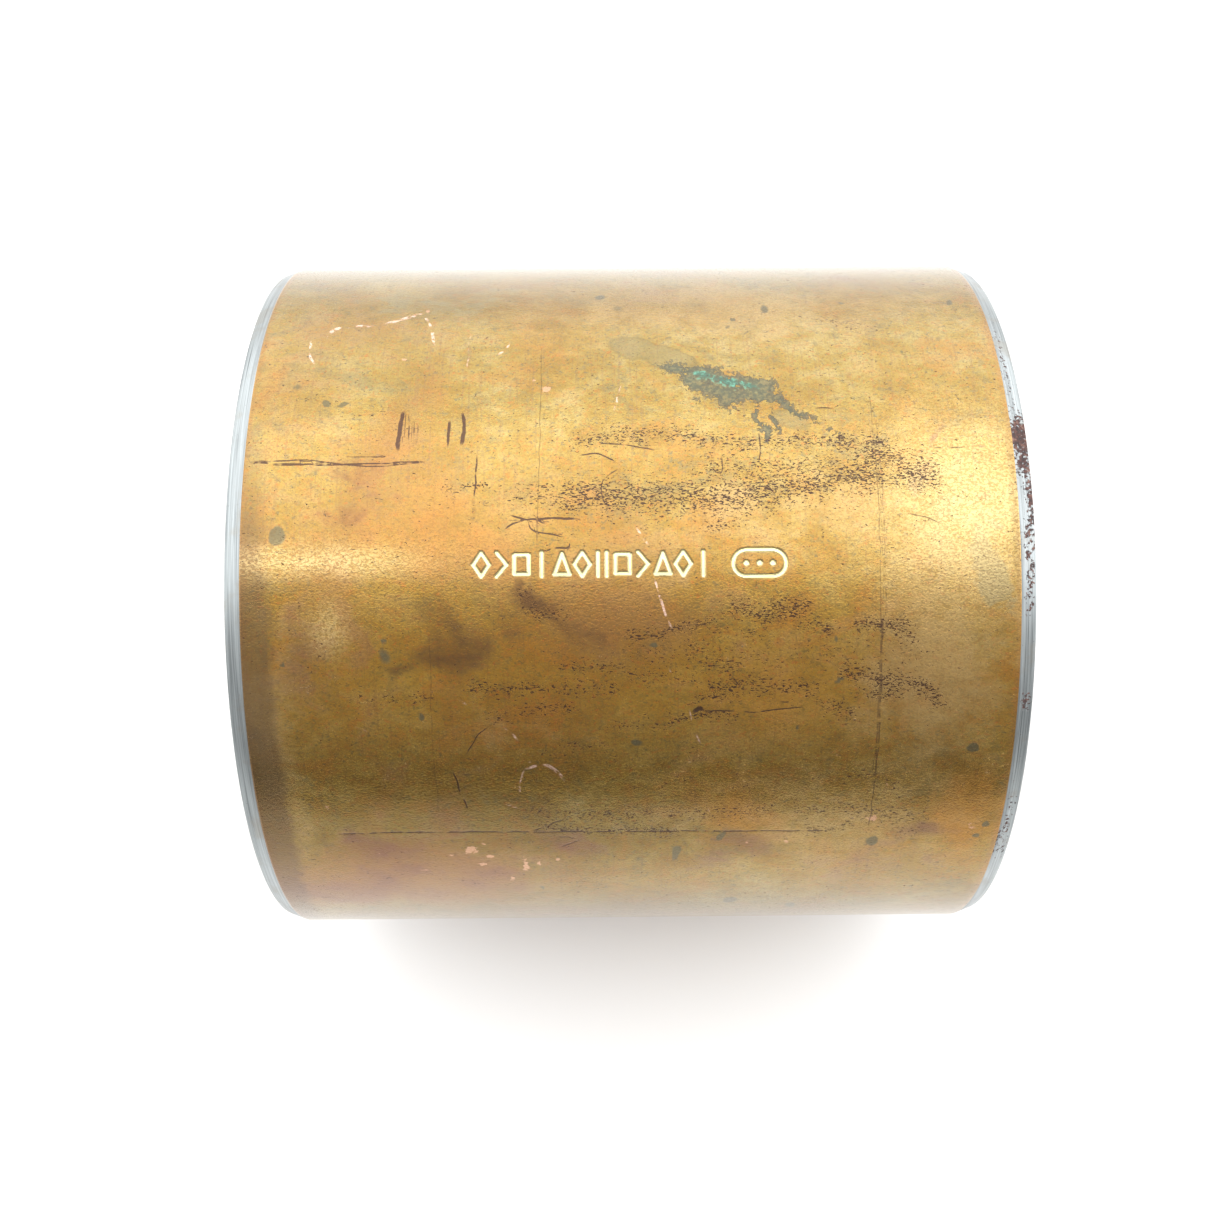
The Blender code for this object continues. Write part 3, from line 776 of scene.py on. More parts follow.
def swept_faces(outline, columns):
    """A closed outline of (x, radius) swept round from one side of the split to the other."""
    angles = [wrap_angle(column / columns) for column in range(columns + 1)]
    faces = []
    for here, there in zip(angles, angles[1:]):
        for (x1, r1), (x2, r2) in zip(outline, outline[1:] + outline[:1]):
            faces.append([(x1, here, r1), (x2, here, r2), (x2, there, r2), (x1, there, r1)])
    for angle in (angles[0], angles[-1]):
        faces.append([(x, angle, radius) for x, radius in outline])
    return faces


def chamfer_x(radius):
    """Where the outer chamfer crosses a radius."""
    return SKIN_END + (SKIN_RADIUS - radius) / math.tan(OUTER_CHAMFER_ANGLE)


def rounded_corner(before, corner, after, size, steps=4):
    """Points of a small round in place of a corner of an outline."""
    before, corner, after = (np.array(p, float) for p in (before, corner, after))
    start = corner + (before - corner) / np.linalg.norm(before - corner) * size
    end = corner + (after - corner) / np.linalg.norm(after - corner) * size
    points = []
    for k in range(steps + 1):
        t = k / steps
        points.append(tuple((1 - t) ** 2 * start + 2 * t * (1 - t) * corner + t * t * end))
    return points


# The steel's section: how many strips its chamfers have, and how far its rounded edges reach
CHAMFER_CUTS = 5
EDGE_ROUND = 0.14


def steel_outline():
    """The steel's section: a long chamfer outside, and its edges slightly rounded."""
    inner = SINTER_RADIUS + LAYER_GAP
    face_top = SKIN_RADIUS - OUTER_CHAMFER * math.tan(OUTER_CHAMFER_ANGLE)
    foot = (HALF_LENGTH, inner)
    nose = (HALF_LENGTH, face_top)
    shoulder = (chamfer_x(STEEL_RADIUS), STEEL_RADIUS)
    along = np.array(shoulder) - nose
    cuts = [tuple(np.array(nose) + along * k / CHAMFER_CUTS) for k in range(1, CHAMFER_CUTS)]
    right = [foot, *rounded_corner(foot, nose, shoulder, EDGE_ROUND), *cuts, shoulder]
    left = [(-x, radius) for x, radius in reversed(right)]
    slope_end = POCKET_HALF_LENGTH + POCKET_SLOPE
    ledge_x = (slope_end, POCKET_HALF_LENGTH, -POCKET_HALF_LENGTH, -slope_end)
    ledge = [(x, STEEL_RADIUS) for x in ledge_x]
    return right + ledge + left


def sinter_outline():
    """The porous bronze layer's section."""
    inner = LINING_RADIUS + LAYER_GAP
    return [
        (HALF_LENGTH, inner),
        (HALF_LENGTH, SINTER_RADIUS),
        (-HALF_LENGTH, SINTER_RADIUS),
        (-HALF_LENGTH, inner),
    ]


# The lining's grease indents: round dimples, staggered, where the CAD has its pits. Each lies in
# the middle of a tile of the bore, whose sides are cut into rows along x and columns round it.
INDENT_PITCH = 4
INDENT_ROWS = 19
INDENT_COLUMNS = 30
INDENT_RADII = (1.5, 1.2, 0.65)
INDENT_DEPTHS = (0, 0.1, 0.21)
INDENT_DEPTH = 0.24
TILE_ROWS = 4
TILE_COLUMNS = 8
BORE_COLUMNS = INDENT_COLUMNS * TILE_COLUMNS


def bore_angle(column):
    """The angle of a column of the bore. The first and the last stop at the split's sides."""
    half_gap = SPLIT_GAP / SKIN_RADIUS / 2
    angle = SPLIT_ANGLE + math.tau * column / BORE_COLUMNS
    return min(max(angle, SPLIT_ANGLE + half_gap), SPLIT_ANGLE + math.tau - half_gap)


def tile_sides():
    """Points round a tile's rim: millimetres along x from its middle, and columns round it."""
    half_length, half_columns = INDENT_PITCH / 2, TILE_COLUMNS // 2
    row_length = INDENT_PITCH / TILE_ROWS
    sides = [(row_length * k - half_length, -half_columns) for k in range(TILE_ROWS)]
    sides += [(half_length, k - half_columns) for k in range(TILE_COLUMNS)]
    sides += [(half_length - row_length * k, half_columns) for k in range(TILE_ROWS)]
    sides += [(-half_length, half_columns - k) for k in range(TILE_COLUMNS)]
    return sides


def indent_tile(x, middle):
    """One tile of the bore, as rings of points round a dimple's centre at a column."""
    sides = tile_sides()
    middle_angle = SPLIT_ANGLE + math.tau * middle / BORE_COLUMNS
    rings = [[(x + u, bore_angle(middle + v), BORE_RADIUS) for u, v in sides]]
    for ring_radius, depth in zip(INDENT_RADII, INDENT_DEPTHS):
        ring = []
        for u, v in sides:
            arc = math.tau * v / BORE_COLUMNS
            share = ring_radius / math.hypot(u, arc * BORE_RADIUS)
            ring.append((x + u * share, middle_angle + arc * share, BORE_RADIUS + depth))
        rings.append(ring)
    faces = []
    for outer, inner in zip(rings, rings[1:]):
        for a, b, c, d in zip(outer, outer[1:] + outer[:1], inner[1:] + inner[:1], inner):
            faces.append([a, b, c, d])
    centre = (x, middle_angle, BORE_RADIUS + INDENT_DEPTH)
    last = rings[-1]
    return faces + [[a, b, centre] for a, b in zip(last, last[1:] + last[:1])]


def bore_strip(start, end, columns):
    """Faces from one (x, radius) to another, in each of some columns of the bore."""
    (x1, r1), (x2, r2) = start, end
    faces = []
    for column in columns:
        here, there = bore_angle(column), bore_angle(column + 1)
        faces.append([(x1, here, r1), (x2, here, r2), (x2, there, r2), (x1, there, r1)])
    return faces


def indent_row(row):
    """A row of tiles round the bore. An even row has plain half tiles at both sides of the split."""
    x = row * INDENT_PITCH
    half = TILE_COLUMNS // 2
    first = half if row % 2 else TILE_COLUMNS
    faces = []
    for middle in range(first, BORE_COLUMNS, TILE_COLUMNS):
        faces += indent_tile(x, middle)
    if row % 2 == 0:
        row_length = INDENT_PITCH / TILE_ROWS
        for k in range(TILE_ROWS):
            low = x - INDENT_PITCH / 2 + k * row_length
            start, end = (low, BORE_RADIUS), (low + row_length, BORE_RADIUS)
            faces += bore_strip(start, end, [*range(half), *range(BORE_COLUMNS - half, BORE_COLUMNS)])
    return faces


def lining_faces():
    """The lining: a bore of tiles with dimples, plain strips at its ends, and its other sides."""
    edge = INDENT_ROWS * INDENT_PITCH / 2
    bore_end = HALF_LENGTH - INNER_CHAMFER
    outer_end = bore_end + LINING_RADIUS - BORE_RADIUS
    faces = []
    for row in range(-(INDENT_ROWS // 2), INDENT_ROWS // 2 + 1):
        faces += indent_row(row)
    right = [(edge, BORE_RADIUS), (bore_end, BORE_RADIUS), (outer_end, LINING_RADIUS)]
    left = [(-x, radius) for x, radius in reversed(right)]
    for side in (left, right, [left[0], right[-1]]):
        for start, end in zip(side, side[1:]):
            faces += bore_strip(start, end, range(BORE_COLUMNS))
    row_length = INDENT_PITCH / TILE_ROWS
    along = [(x, BORE_RADIUS) for x in np.arange(-edge, edge + row_length, row_length)]
    for angle in (bore_angle(0), bore_angle(BORE_COLUMNS)):
        faces.append([(x, angle, radius) for x, radius in [*left[:2], *along, *right[1:]]])
    return faces


# ---------------------------------------------------------------------------------------------
# Materials

# How far one seed's noise lies from the next one's, in features of the noise
SEED_SHIFT = 7.3
# What each broad zone multiplies the tarnish by: paler with painted highlight, deeper with painted shade,
# and greyer with painted shade
ZONE_TINTS = {"deepened_by_shade": (1.0, 0.84, 0.45), "faded_and_highlit": (1.04, 1.16, 1.75), "grey_and_shaded": (0.66, 0.71, 0.88)}


class Paint:
    """A node tree under construction, with short calls for the nodes that the materials share."""

    def __init__(self, tree):
        self.tree = tree

    def node(self, kind, sockets=None, **settings):
        """Adds a node. Each socket takes a plain value, or another node's output."""
        made = self.tree.nodes.new("ShaderNode" + kind)
        for name, value in settings.items():
            setattr(made, name, value)
        for name, value in (sockets or {}).items():
            self.feed(made.inputs[name], value)
        return made

    def feed(self, socket, value):
        if isinstance(value, bpy.types.NodeSocket):
            self.tree.links.new(value, socket)
        else:
            socket.default_value = value

    def math(self, operation, first, second=0.0):
        return self.node("Math", {0: first, 1: second}, operation=operation).outputs[0]

    def step(self, value, low, high):
        """Rises smoothly from 0 to 1 as the value goes from low to high."""
        sockets = {"Value": value, "From Min": low, "From Max": high}
        return self.node("MapRange", sockets, interpolation_type="SMOOTHSTEP").outputs[0]

    def scaled(self, value, factor):
        return self.math("MULTIPLY", value, factor)

    def mix(self, amount, first, second, blend="MIX"):
        sockets = {0: amount, 6: first, 7: second}
        return self.node("Mix", sockets, data_type="RGBA", blend_type=blend).outputs[2]

    def cover(self, colour, amount, strength, tint):
        """Lays a tint over a colour, by an amount from 0 to 1 and at most by a strength."""
        return self.mix(self.scaled(amount, strength), colour, (*tint, 1))

    def torn(self, noise, amount):
        """A noise as a shift of a mark's strength, which tears the mark's edge."""
        return self.scaled(self.math("SUBTRACT", noise, 0.5), amount)

    def ramp(self, value, stops, interpolation="LINEAR"):
        """Colours by value, from (value, colour) stops."""
        node = self.node("ValToRGB", {"Fac": value})
        node.color_ramp.interpolation = interpolation
        elements = node.color_ramp.elements
        while len(elements) < len(stops):
            elements.new(1.0)
        for element, (place, colour) in zip(elements, stops):
            element.position = place
            element.color = (*colour, 1)
        return node.outputs[0]

    def mark(self, name):
        """A mark that is stored on the mesh's points."""
        return self.node("Attribute", attribute_name=name).outputs["Fac"]

    def scratch(self, name, noise):
        """Scratches of a kind, from 0 to 1. A noise roughens their edges."""
        off = self.math("ABSOLUTE", self.mark(name + "_side"))
        off = self.math("ADD", off, self.torn(noise, 1.5))
        strength = self.mark(name + "_strength")
        edge = self.math("ADD", self.scaled(strength, 0.7), 0.75)
        inside = self.step(self.math("SUBTRACT", off, edge), 0.25, -0.35)
        return self.math("MULTIPLY", inside, self.step(strength, 0.0, 0.75))

    def set_surface(self, shader, colour, roughness, relief, strength):
        """Gives a shader its colour, its roughness, and its relief in millimetres."""
        bump = self.node("Bump", {"Height": relief, "Distance": MM, "Strength": strength})
        self.feed(shader.inputs["Base Color"], colour)
        self.feed(shader.inputs["Roughness"], roughness)
        self.feed(shader.inputs["Normal"], bump.outputs[0])

    def place(self):
        """Where a point is, in metres."""
        return self.node("TexCoord").outputs["Object"]

    def noise(self, size, stretch=1.0, detail=2.0, roughness=0.5, warp=0.0, seed=0):
        """Noise with features of a size in millimetres, drawn out along the axis by stretch."""
        across = 1 / (size * MM)
        scale = (across / stretch, across, across)
        mapping = {"Vector": self.place(), "Location": (seed * SEED_SHIFT,) * 3, "Scale": scale}
        spot = self.node("Mapping", mapping).outputs[0]
        sockets = {"Vector": spot, "Scale": 1.0, "Detail": detail, "Roughness": roughness}
        return self.node("TexNoise", {**sockets, "Distortion": warp}).outputs[0]

    def turned(self, size, arc, seed=0):
        """Noise in lines round the axis: a line's width in millimetres, its length in degrees."""
        off_axis = {0: self.place(), 1: (0, 1, 1)}
        across = self.node("VectorMath", off_axis, operation="MULTIPLY").outputs[0]
        radius = self.node("VectorMath", {0: across}, operation="LENGTH").outputs["Value"]
        facing = self.node("VectorMath", {0: across}, operation="NORMALIZE").outputs[0]
        x = self.node("SeparateXYZ", {0: self.place()}).outputs[0]
        depth = self.scaled(self.math("ADD", x, radius), 1 / (size * MM))
        often = 1 / math.radians(arc)
        swept = {0: facing, 1: (0, often, often), 2: (seed * SEED_SHIFT,) * 3}
        swept = self.node("VectorMath", swept, operation="MULTIPLY_ADD").outputs[0]
        line = self.node("CombineXYZ", {0: depth}).outputs[0]
        spot = self.node("VectorMath", {0: swept, 1: line}, operation="ADD").outputs[0]
        sockets = {"Vector": spot, "Scale": 1.0, "Detail": 3.0, "Roughness": 0.6}
        return self.node("TexNoise", sockets).outputs[0]


def new_material(name):
    """A material with a Principled shader, as (material, paint, shader)."""
    material = bpy.data.materials.new(name)
    material.use_nodes = True
    tree = material.node_tree
    return material, Paint(tree), tree.nodes["Principled BSDF"]


# How a patch's edge is drawn: how much noise tears it, and between which strengths it fades in
SOFT_EDGE = (1.0, 0.12, 0.9)
PATCH_EDGES = {
    "band": (0.4, 0.20, 0.62),
    "haze": (0.9, 0.40, 0.60),
    "spot": (0.35, 0.34, 0.56),
}


def tarnished_plating():
    """Bronze plating: cloudy gold and copper tarnish, flecks, stains, verdigris and scratches."""
    material, paint, shader = new_material("tarnished_plating")
    mottle = paint.noise(2.6, stretch=1.4, detail=5, roughness=0.65, warp=0.4, seed=2)
    grain = paint.noise(0.21, stretch=1.35, detail=2, warp=0.8, seed=3)
    crumbs = paint.noise(0.45, detail=3, roughness=0.6, seed=8)
    ragged = paint.torn(mottle, 1.3)

    colour = patched(paint, tarnish_colour(paint, mottle), ragged)
    # Painted highlight: bright gold, broken up by the grain, laid where the highlight patches lie
    glint = paint.math("ADD", paint.scaled(paint.step(grain, 0.42, 0.58), 0.5), 0.4)
    painted_highlight = paint.math("MULTIPLY", paint.mark("painted_highlight"), glint)
    colour = paint.cover(colour, painted_highlight, 0.9, (0.92, 0.70, 0.32))
    colour = paint.cover(colour, paint.step(grain, 0.56, 0.34), 0.26, (0.16, 0.075, 0.014))
    colour, crust = verdigris_crust(paint, colour, ragged, crumbs)
    colour, flecks = fleck_layer(paint, colour)
    colour, dark = scratch_layer(paint, colour, crumbs)
    colour = paint.cover(colour, paint.mark("stamp_rim"), 0.85, (0.20, 0.095, 0.018))
    colour = paint.cover(colour, paint.mark("stamp"), 1.0, (0.80, 0.76, 0.42))

    relief = paint.math("ADD", paint.scaled(grain, 0.033), paint.scaled(mottle, 0.010))
    relief = paint.math("MULTIPLY", relief, paint.math("SUBTRACT", 1.0, paint.mark("stamp")))
    crusty = paint.math("MULTIPLY", crust, crumbs)
    for height, depth in ((flecks, -0.014), (dark, -0.012), (crusty, 0.09)):
        relief = paint.math("ADD", relief, paint.scaled(height, depth))
    matt = paint.math("ADD", paint.scaled(mottle, 0.16), 0.13)
    matt = paint.math("ADD", matt, paint.scaled(paint.math("MAXIMUM", flecks, crust), 0.35))
    metal = paint.scaled(paint.math("SUBTRACT", 1.0, crust), 0.95)
    paint.set_surface(shader, colour, matt, relief, 1.0)
    paint.feed(shader.inputs["Metallic"], metal)
    shader.inputs["Coat Weight"].default_value = 0.6
    shader.inputs["Coat Roughness"].default_value = 0.22
    return material


def patched(paint, colour, ragged):
    """The soft patches over a colour, all but the verdigris's film."""
    for name, (tint, strength, _) in PATCHES.items():
        if name != "film":
            torn, low, high = PATCH_EDGES.get(name, SOFT_EDGE)
            spread = paint.math("ADD", paint.mark(name), paint.scaled(ragged, torn))
            colour = paint.cover(colour, paint.step(spread, low, high), strength, tint)
    return colour


def scratch_layer(paint, colour, crumbs):
    """Rubbed spots and scratches over a colour, with how fully each point is in a dark one."""
    rubbed = paint.step(paint.math("ADD", paint.mark("rubbed"), paint.torn(crumbs, 1.8)), 0.42, 0.62)
    bright = paint.math("MULTIPLY", paint.scratch("bright", crumbs), paint.step(crumbs, 0.36, 0.56))
    dark = paint.scratch("dark", crumbs)
    colour = paint.cover(colour, rubbed, 0.7, (0.68, 0.38, 0.23))
    colour = paint.cover(colour, dark, 0.93, (0.060, 0.024, 0.012))
    return paint.cover(colour, bright, 1.0, (0.82, 0.54, 0.42)), dark


def tarnish_colour(paint, mottle):
    """The plating's cloudy colour, before anything lies on it."""
    clouds = paint.noise(14, detail=3, warp=0.7, seed=1)
    tone = paint.math("ADD", paint.scaled(clouds, 0.4), paint.scaled(mottle, 0.6))
    golds = [
        (0.38, (0.32, 0.175, 0.024)),
        (0.50, (0.38, 0.235, 0.040)),
        (0.62, (0.45, 0.310, 0.080)),
    ]
    colour = paint.ramp(tone, golds)
    hue = paint.noise(5.5, stretch=1.3, detail=4, roughness=0.65, warp=1.0, seed=6)
    freckle = paint.noise(0.8, stretch=1.3, detail=3, roughness=0.6, warp=0.5, seed=9)
    speck = paint.noise(0.34, stretch=1.3, detail=2, roughness=0.5, warp=0.4, seed=10)
    streak = paint.turned(0.22, 9, seed=4)
    olive, orange = (0.22, 0.165, 0.050), (0.43, 0.19, 0.030)
    colour = paint.cover(colour, paint.step(hue, 0.53, 0.68), 0.45, olive)
    colour = paint.cover(colour, paint.step(hue, 0.47, 0.34), 0.45, orange)
    colour = paint.cover(colour, paint.step(freckle, 0.54, 0.70), 0.50, olive)
    colour = paint.cover(colour, paint.step(freckle, 0.46, 0.32), 0.45, orange)
    colour = paint.cover(colour, paint.step(speck, 0.60, 0.70), 0.55, (0.13, 0.115, 0.05))
    colour = paint.cover(colour, paint.step(speck, 0.39, 0.29), 0.50, (0.46, 0.14, 0.02))
    colour = paint.cover(colour, paint.step(streak, 0.50, 0.70), 0.30, (0.24, 0.13, 0.045))
    # The broad zones: painted highlight and painted shade laid into the colour
    for name, tint in ZONE_TINTS.items():
        tinted = paint.mix(1.0, colour, (*tint, 1), "MULTIPLY")
        colour = paint.mix(paint.mark(name), colour, tinted)
    # Copper shows along both edges, where the skin meets the chamfers
    along = paint.math("ABSOLUTE", paint.node("SeparateXYZ", {0: paint.place()}).outputs[0])
    ragged_along = paint.math("ADD", along, paint.scaled(mottle, 1.2 * MM))
    edge = paint.step(ragged_along, (SKIN_END - 0.2) * MM, (SKIN_END + 0.7) * MM)
    return paint.cover(colour, edge, 0.45, (0.34, 0.15, 0.040))


def verdigris_crust(paint, colour, ragged, crumbs):
    """Green copper salts over a colour: a smear, a dark-edged crust, and its turquoise middle."""
    smear = paint.step(paint.math("ADD", paint.mark("smear"), paint.scaled(ragged, 0.5)), 0.3, 0.5)
    smear_edge = paint.math("MULTIPLY", smear, paint.math("SUBTRACT", 1.0, smear))
    colour = paint.cover(colour, smear, 0.55, (0.24, 0.190, 0.080))
    colour = paint.cover(colour, smear_edge, 1.3, (0.17, 0.125, 0.040))

    tint, strength, _ = PATCHES["film"]
    torn = paint.math("ADD", ragged, paint.torn(crumbs, 1.6))
    spread = paint.math("ADD", paint.mark("film"), torn)
    crust = paint.step(spread, 0.42, 0.56)
    inner = paint.step(spread, 0.55, 0.95)
    film = paint.mix(inner, (0.055, 0.045, 0.014, 1), (*tint, 1))
    film = paint.cover(film, paint.step(crumbs, 0.56, 0.40), 0.5, (0.035, 0.060, 0.036))
    thin = paint.scaled(paint.step(crumbs, 0.46, 0.66), 0.28)
    shown = paint.math("SUBTRACT", strength, thin)
    colour = paint.mix(paint.math("MULTIPLY", crust, shown), colour, film)

    core = paint.math("ADD", paint.mark("verdigris"), paint.scaled(torn, 0.8))
    teal = paint.mix(paint.step(crumbs, 0.50, 0.68), (0.025, 0.13, 0.085, 1), (0.09, 0.38, 0.27, 1))
    colour = paint.mix(paint.scaled(paint.step(core, 0.45, 0.85), 0.8), colour, teal)
    return colour, crust


def fleck_layer(paint, colour):
    """Fine black-brown flecks over a colour: dense in their bands, and rare elsewhere."""
    fine = paint.noise(0.145, stretch=2.3, detail=1, roughness=0.4, warp=0.9, seed=5)
    bunched = paint.noise(1.5, stretch=2.6, detail=3, roughness=0.6, seed=7)
    density = paint.math("MULTIPLY", paint.mark("flecks"), paint.step(bunched, 0.12, 0.40))
    colour = paint.cover(colour, density, 0.14, (0.22, 0.105, 0.022))
    threshold = paint.math("SUBTRACT", 0.715, paint.scaled(density, 0.255))
    flecks = paint.step(paint.math("SUBTRACT", fine, threshold), 0.0, 0.035)
    return paint.cover(colour, flecks, 0.95, (0.055, 0.021, 0.008)), flecks


def machined_steel():
    """Bare backing steel: turning lines round its ends, and patches of red-brown rust."""
    material, paint, shader = new_material("machined_steel")
    fine = paint.turned(0.07, 14, seed=1)
    broad = paint.turned(0.32, 20, seed=2)
    cloud = paint.noise(3.5, detail=4, roughness=0.6, seed=3)
    lines = paint.math("ADD", paint.scaled(fine, 0.6), paint.scaled(broad, 0.4))
    greys = [
        (0.36, (0.17, 0.185, 0.19)),
        (0.48, (0.32, 0.345, 0.35)),
        (0.62, (0.45, 0.485, 0.495)),
    ]
    colour = paint.ramp(lines, greys)
    colour = paint.cover(colour, paint.step(cloud, 0.52, 0.68), 0.4, (0.30, 0.27, 0.22))

    crumbs = paint.noise(0.35, detail=4, roughness=0.65, seed=4)
    rust = paint.step(paint.math("ADD", paint.mark("rust"), paint.torn(crumbs, 2.6)), 0.48, 0.60)
    tone = paint.noise(0.5, detail=3, roughness=0.6, seed=5)
    browns = [
        (0.38, (0.030, 0.009, 0.007)),
        (0.54, (0.090, 0.027, 0.018)),
        (0.68, (0.26, 0.13, 0.09)),
    ]
    colour = paint.mix(paint.scaled(rust, 0.93), colour, paint.ramp(tone, browns))

    relief = paint.math("ADD", paint.scaled(fine, 0.006), paint.scaled(broad, 0.012))
    relief = paint.math("ADD", relief, paint.scaled(paint.math("MULTIPLY", rust, crumbs), 0.07))
    matt = paint.math("ADD", paint.scaled(cloud, 0.2), 0.24)
    matt = paint.math("ADD", matt, paint.scaled(rust, 0.45))
    paint.set_surface(shader, colour, matt, relief, 0.9)
    paint.feed(shader.inputs["Metallic"], paint.math("SUBTRACT", 1.0, rust))
    return material


def porous_bronze():
    """Sintered bronze on its cut edge: round grains of copper colour with dark pores between."""
    material, paint, shader = new_material("porous_bronze")
    across = 1 / (0.11 * MM)
    spot = paint.node("Mapping", {"Vector": paint.place(), "Scale": (across,) * 3}).outputs[0]
    grains = paint.node("TexVoronoi", {"Vector": spot, "Scale": 1.0}).outputs["Distance"]
    tint = paint.noise(0.5, detail=3, seed=2)
    coppers = [(0.35, (0.36, 0.16, 0.07)), (0.5, (0.52, 0.28, 0.12)), (0.65, (0.62, 0.40, 0.20))]
    pores = paint.step(grains, 0.45, 0.72)
    colour = paint.cover(paint.ramp(tint, coppers), pores, 1.0, (0.05, 0.028, 0.015))
    matt = paint.math("ADD", paint.scaled(pores, 0.35), 0.45)
    paint.set_surface(shader, colour, matt, paint.scaled(grains, -0.05), 1.0)
    shader.inputs["Metallic"].default_value = 0.9
    return material


def acetal():
    """Amber-brown acetal: faint mottling, sliding marks round the bore, and grease in its indents."""
    material, paint, shader = new_material("acetal")
    mottle = paint.noise(5, detail=4, roughness=0.6, warp=0.5, seed=1)
    sliding = paint.turned(0.22, 30, seed=2)
    peel = paint.noise(0.5, detail=2, seed=3)
    ambers = [
        (0.32, (0.33, 0.190, 0.065)),
        (0.50, (0.42, 0.255, 0.095)),
        (0.68, (0.49, 0.315, 0.130)),
    ]
    colour = paint.ramp(mottle, ambers)
    colour = paint.cover(colour, paint.step(sliding, 0.52, 0.72), 0.35, (0.22, 0.125, 0.045))
    smudge = paint.math("ADD", paint.mark("grease"), paint.scaled(mottle, 0.5))
    grease = paint.step(smudge, 0.5, 1.1)
    colour = paint.cover(colour, grease, 0.7, (0.12, 0.065, 0.020))
    relief = paint.math("ADD", paint.scaled(peel, 0.02), paint.scaled(sliding, 0.006))
    dry = paint.math("ADD", paint.scaled(mottle, 0.2), 0.36)
    paint.set_surface(shader, colour, paint.math("SUBTRACT", dry, paint.scaled(grease, 0.2)), relief, 0.8)
    return material


# ---------------------------------------------------------------------------------------------
# Pieces


def blotches(x, around, shapes):
    """Soft oval blotches, from 0 to 1, at their strongest where they overlap."""
    found = np.zeros(x.shape)
    for middle_x, middle_around, half_length, half_height, turn, strength in shapes:
        along = x - middle_x
        over = (around - middle_around) * MM_PER_DEGREE
        cosine, sine = math.cos(math.radians(turn)), math.sin(math.radians(turn))
        u = (along * cosine + over * sine) / half_length
        v = (over * cosine - along * sine) / half_height
        found = np.maximum(found, strength * np.exp(-0.7 * (u * u + v * v)))
    return found


def bands(x, around, shapes):
    """Soft bands along lines, from 0 to 1, at their strongest where they overlap."""
    found = np.zeros(x.shape)
    for half_width, strength, line in shapes:
        away = line_distance(x, around, line) / half_width
        found = np.maximum(found, strength * np.exp(-away * away))
    return found


def store(piece, name, values):
    """Stores a mark on a mesh's points, where a material finds it by name."""
    attribute = piece.data.attributes.new(name, "FLOAT", "POINT")
    attribute.data.foreach_set("value", values.astype(np.float32))


def build_skin():
    """The plating. Soft marks are moved about by broad noise, and sharp ones by fine noise."""
    piece, x, angle, _ = new_object(
        "plating", skin_faces(), tarnished_plating(), "bronze_plating", skin_depth
    )
    around = around_of(angle)
    smoky = shaken(*shaken(x, around, 2.2, 5, seed=21), 0.9, 1.6, seed=23)
    torn = shaken(x, around, 0.35, 1.4, seed=25)
    for name in HIDDEN_PATCHES:
        store(piece, name, blotches(*smoky, MARKS[name]))
    for name in HIDDEN_SPOTS:
        store(piece, name, blotches(*torn, MARKS[name]))
    for name, shapes in SHARP_MARKS.items():
        store(piece, name, blotches(*torn, shapes))
    # Broad zones of painted highlight and painted shade
    store(piece, "faded_and_highlit", blotches(x, around, FADED_AND_HIGHLIT_ZONES))
    store(piece, "deepened_by_shade", blotches(x, around, SHADE_DEEPENED_ZONES))
    store(piece, "grey_and_shaded", blotches(*smoky, GREY_AND_SHADED_ZONES))
    store(piece, "flecks", bands(*torn, MARKS["flecks"]))
    for name, gaps in (("bright", BRIGHT_GAPS), ("dark", DARK_GAPS)):
        side, strength, _ = scratched(x, around, MARKS[name + " scratches"], gaps)
        store(piece, name + "_side", side)
        store(piece, name + "_strength", strength)
    store(piece, "stamp", stamped(x, around))
    store(piece, "stamp_rim", stamped(x, around, RIM_WIDTH))


def build_backing():
    piece, x, angle, _ = new_object(
        "steel",
        swept_faces(steel_outline(), STEEL_COLUMNS),
        machined_steel(),
        "steel_backing",
        steel_depth,
    )
    store(piece, "rust", blotches(x, around_of(angle), MARKS["rust"]))


def build_bore():
    """The two layers inside the steel. The deeper a point of the bore, the more grease it holds."""
    new_object(
        "sinter",
        swept_faces(sinter_outline(), SKIN_COLUMNS),
        porous_bronze(),
        "sintered_bronze_layer",
    )
    piece, _, _, radius = new_object(
        "lining", lining_faces(), acetal(), "acetal_lining"
    )
    depth = (radius - BORE_RADIUS) / INDENT_DEPTH
    in_bore = radius < BORE_RADIUS + INDENT_DEPTH * 1.01
    store(piece, "grease", np.where(in_bore, depth, 0))


# ---------------------------------------------------------------------------------------------
# Studio

FLOOR_SIZE = 3000
# The floor is painted a little darker in front, beyond the camera's view, as painted shade for light
# falling off over the tabletop: colours, and where it changes
FLOOR_NEAR = (0.97, 0.97, 0.965, 1)
FLOOR_FAR = (0.68, 0.68, 0.67, 1)
FLOOR_FADE_FROM = 95
FLOOR_FADE_TO = 210
# Brightness of the studio by direction, from the front horizon (0) over the top to the back (180)
STUDIO_LIGHT = [
    (0, 0.40), (4, 0.24), (12, 0.34), (28, 0.62), (50, 0.73), (64, 0.86), (82, 1.22), (110, 1.45),
    (128, 1.85), (150, 1.95), (180, 2.0),
]
STUDIO_BRIGHTEST = 2.0
SIDE_GAIN = 0.5
# Pale panels at both ends of the studio: between which angles, how softly they begin and end,
# from what sideways share of the direction they show, and how much light they add
PANEL_FROM, PANEL_TO = 64, 112
PANEL_SOFT_FROM, PANEL_SOFT_TO = 5, 12
PANEL_SIDEWAYS = (0.3, 0.55)
PANEL_GAIN = 0.75

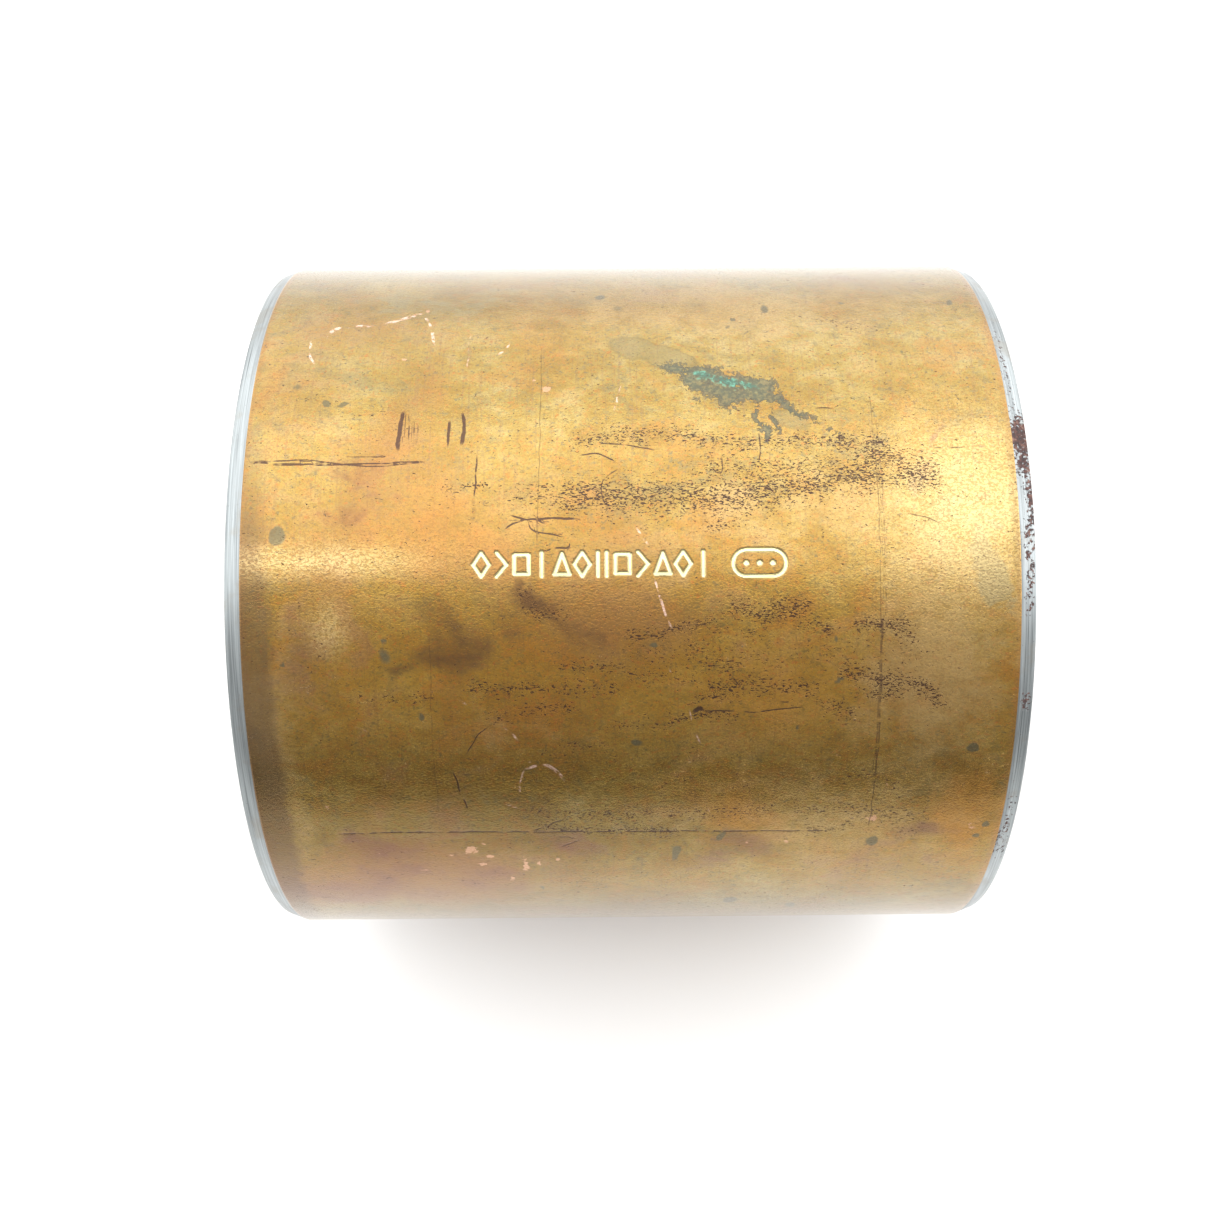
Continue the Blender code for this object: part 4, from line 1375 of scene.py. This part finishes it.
# The softbox, which hangs above and behind the bushing
SOFTBOX_SIZE = (350, 310)
SOFTBOX_DISTANCE = 330
SOFTBOX_ELEVATION = math.radians(102)
SOFTBOX_BRIGHTNESS = 1.1


def build_camera():
    data = bpy.data.cameras.new("camera")
    data.lens = LENS
    data.shift_x, data.shift_y = SHIFT
    data.clip_start, data.clip_end = 10 * MM, 10
    camera = bpy.data.objects.new("camera", data)
    camera.matrix_world = (
        Matrix.Rotation(math.pi / 2 - ELEVATION, 4, "X")
        @ Matrix.Rotation(YAW, 4, "Y")
        @ Matrix.Translation((0, 0, DISTANCE * MM))
        @ Matrix.Rotation(ROLL, 4, "Z")
    )
    bpy.context.scene.collection.objects.link(camera)
    bpy.context.scene.camera = camera


def build_floor():
    material, paint, shader = new_material("paper")
    # Painted shade: the floor's colour darkens in front, beyond the camera's view
    forward = paint.math("MULTIPLY", paint.node("SeparateXYZ", {0: paint.place()}).outputs[1], -1.0)
    far = paint.step(forward, FLOOR_FADE_FROM * MM, FLOOR_FADE_TO * MM)
    paint.feed(shader.inputs["Base Color"], paint.mix(far, FLOOR_NEAR, FLOOR_FAR))
    shader.inputs["Roughness"].default_value = 0.9
    half = FLOOR_SIZE / 2 * MM
    height = -SKIN_RADIUS * MM
    mesh = bpy.data.meshes.new("floor")
    corners = [(-half, -half, height), (half, -half, height), (half, half, height), (-half, half, height)]
    mesh.from_pydata(corners, [], [(0, 1, 2, 3)])
    mesh.materials.append(material)
    floor = bpy.data.objects.new("floor", mesh)
    bpy.context.scene.collection.objects.link(floor)


def build_softbox():
    """A rectangle of soft light, turned to face the bushing."""
    data = bpy.data.lights.new("softbox", "AREA")
    data.shape = "RECTANGLE"
    data.size, data.size_y = (side * MM for side in SOFTBOX_SIZE)
    data.energy = SOFTBOX_BRIGHTNESS * math.pi * data.size * data.size_y
    softbox = bpy.data.objects.new("softbox", data)
    softbox.matrix_world = (
        Matrix.Rotation(math.pi / 2 - SOFTBOX_ELEVATION, 4, "X")
        @ Matrix.Translation((0, 0, SOFTBOX_DISTANCE * MM))
    )
    bpy.context.scene.collection.objects.link(softbox)


def build_light():
    world = bpy.data.worlds.new("studio")
    bpy.context.scene.world = world
    world.use_nodes = True
    paint = Paint(world.node_tree)
    direction = paint.node("TexCoord").outputs["Generated"]
    parts = paint.node("SeparateXYZ", {0: direction}).outputs
    front = paint.math("MULTIPLY", parts[1], -1.0)
    angle = paint.math("DIVIDE", paint.math("ARCTAN2", parts[2], front), math.pi)
    stops = [(degrees / 180, (level / STUDIO_BRIGHTEST,) * 3) for degrees, level in STUDIO_LIGHT]
    sideways = paint.math("MULTIPLY", parts[0], parts[0])
    gain = paint.math("ADD", paint.scaled(sideways, SIDE_GAIN), 1.0)
    above = [(PANEL_FROM + soft) / 180 for soft in (-PANEL_SOFT_FROM, PANEL_SOFT_FROM)]
    below = [(PANEL_TO + soft) / 180 for soft in (PANEL_SOFT_TO, -PANEL_SOFT_TO)]
    panel = paint.math("MULTIPLY", paint.step(angle, *above), paint.step(angle, *below))
    panel = paint.math("MULTIPLY", panel, paint.step(sideways, *PANEL_SIDEWAYS))
    gain = paint.math("ADD", gain, paint.scaled(panel, PANEL_GAIN))
    background = world.node_tree.nodes["Background"]
    paint.feed(background.inputs["Color"], paint.ramp(angle, stops, "EASE"))
    paint.feed(background.inputs["Strength"], paint.math("MULTIPLY", gain, STUDIO_BRIGHTEST))


build_skin()
build_backing()
build_bore()
build_camera()
build_floor()
build_light()
build_softbox()
bpy.context.scene.view_settings.view_transform = "Standard"
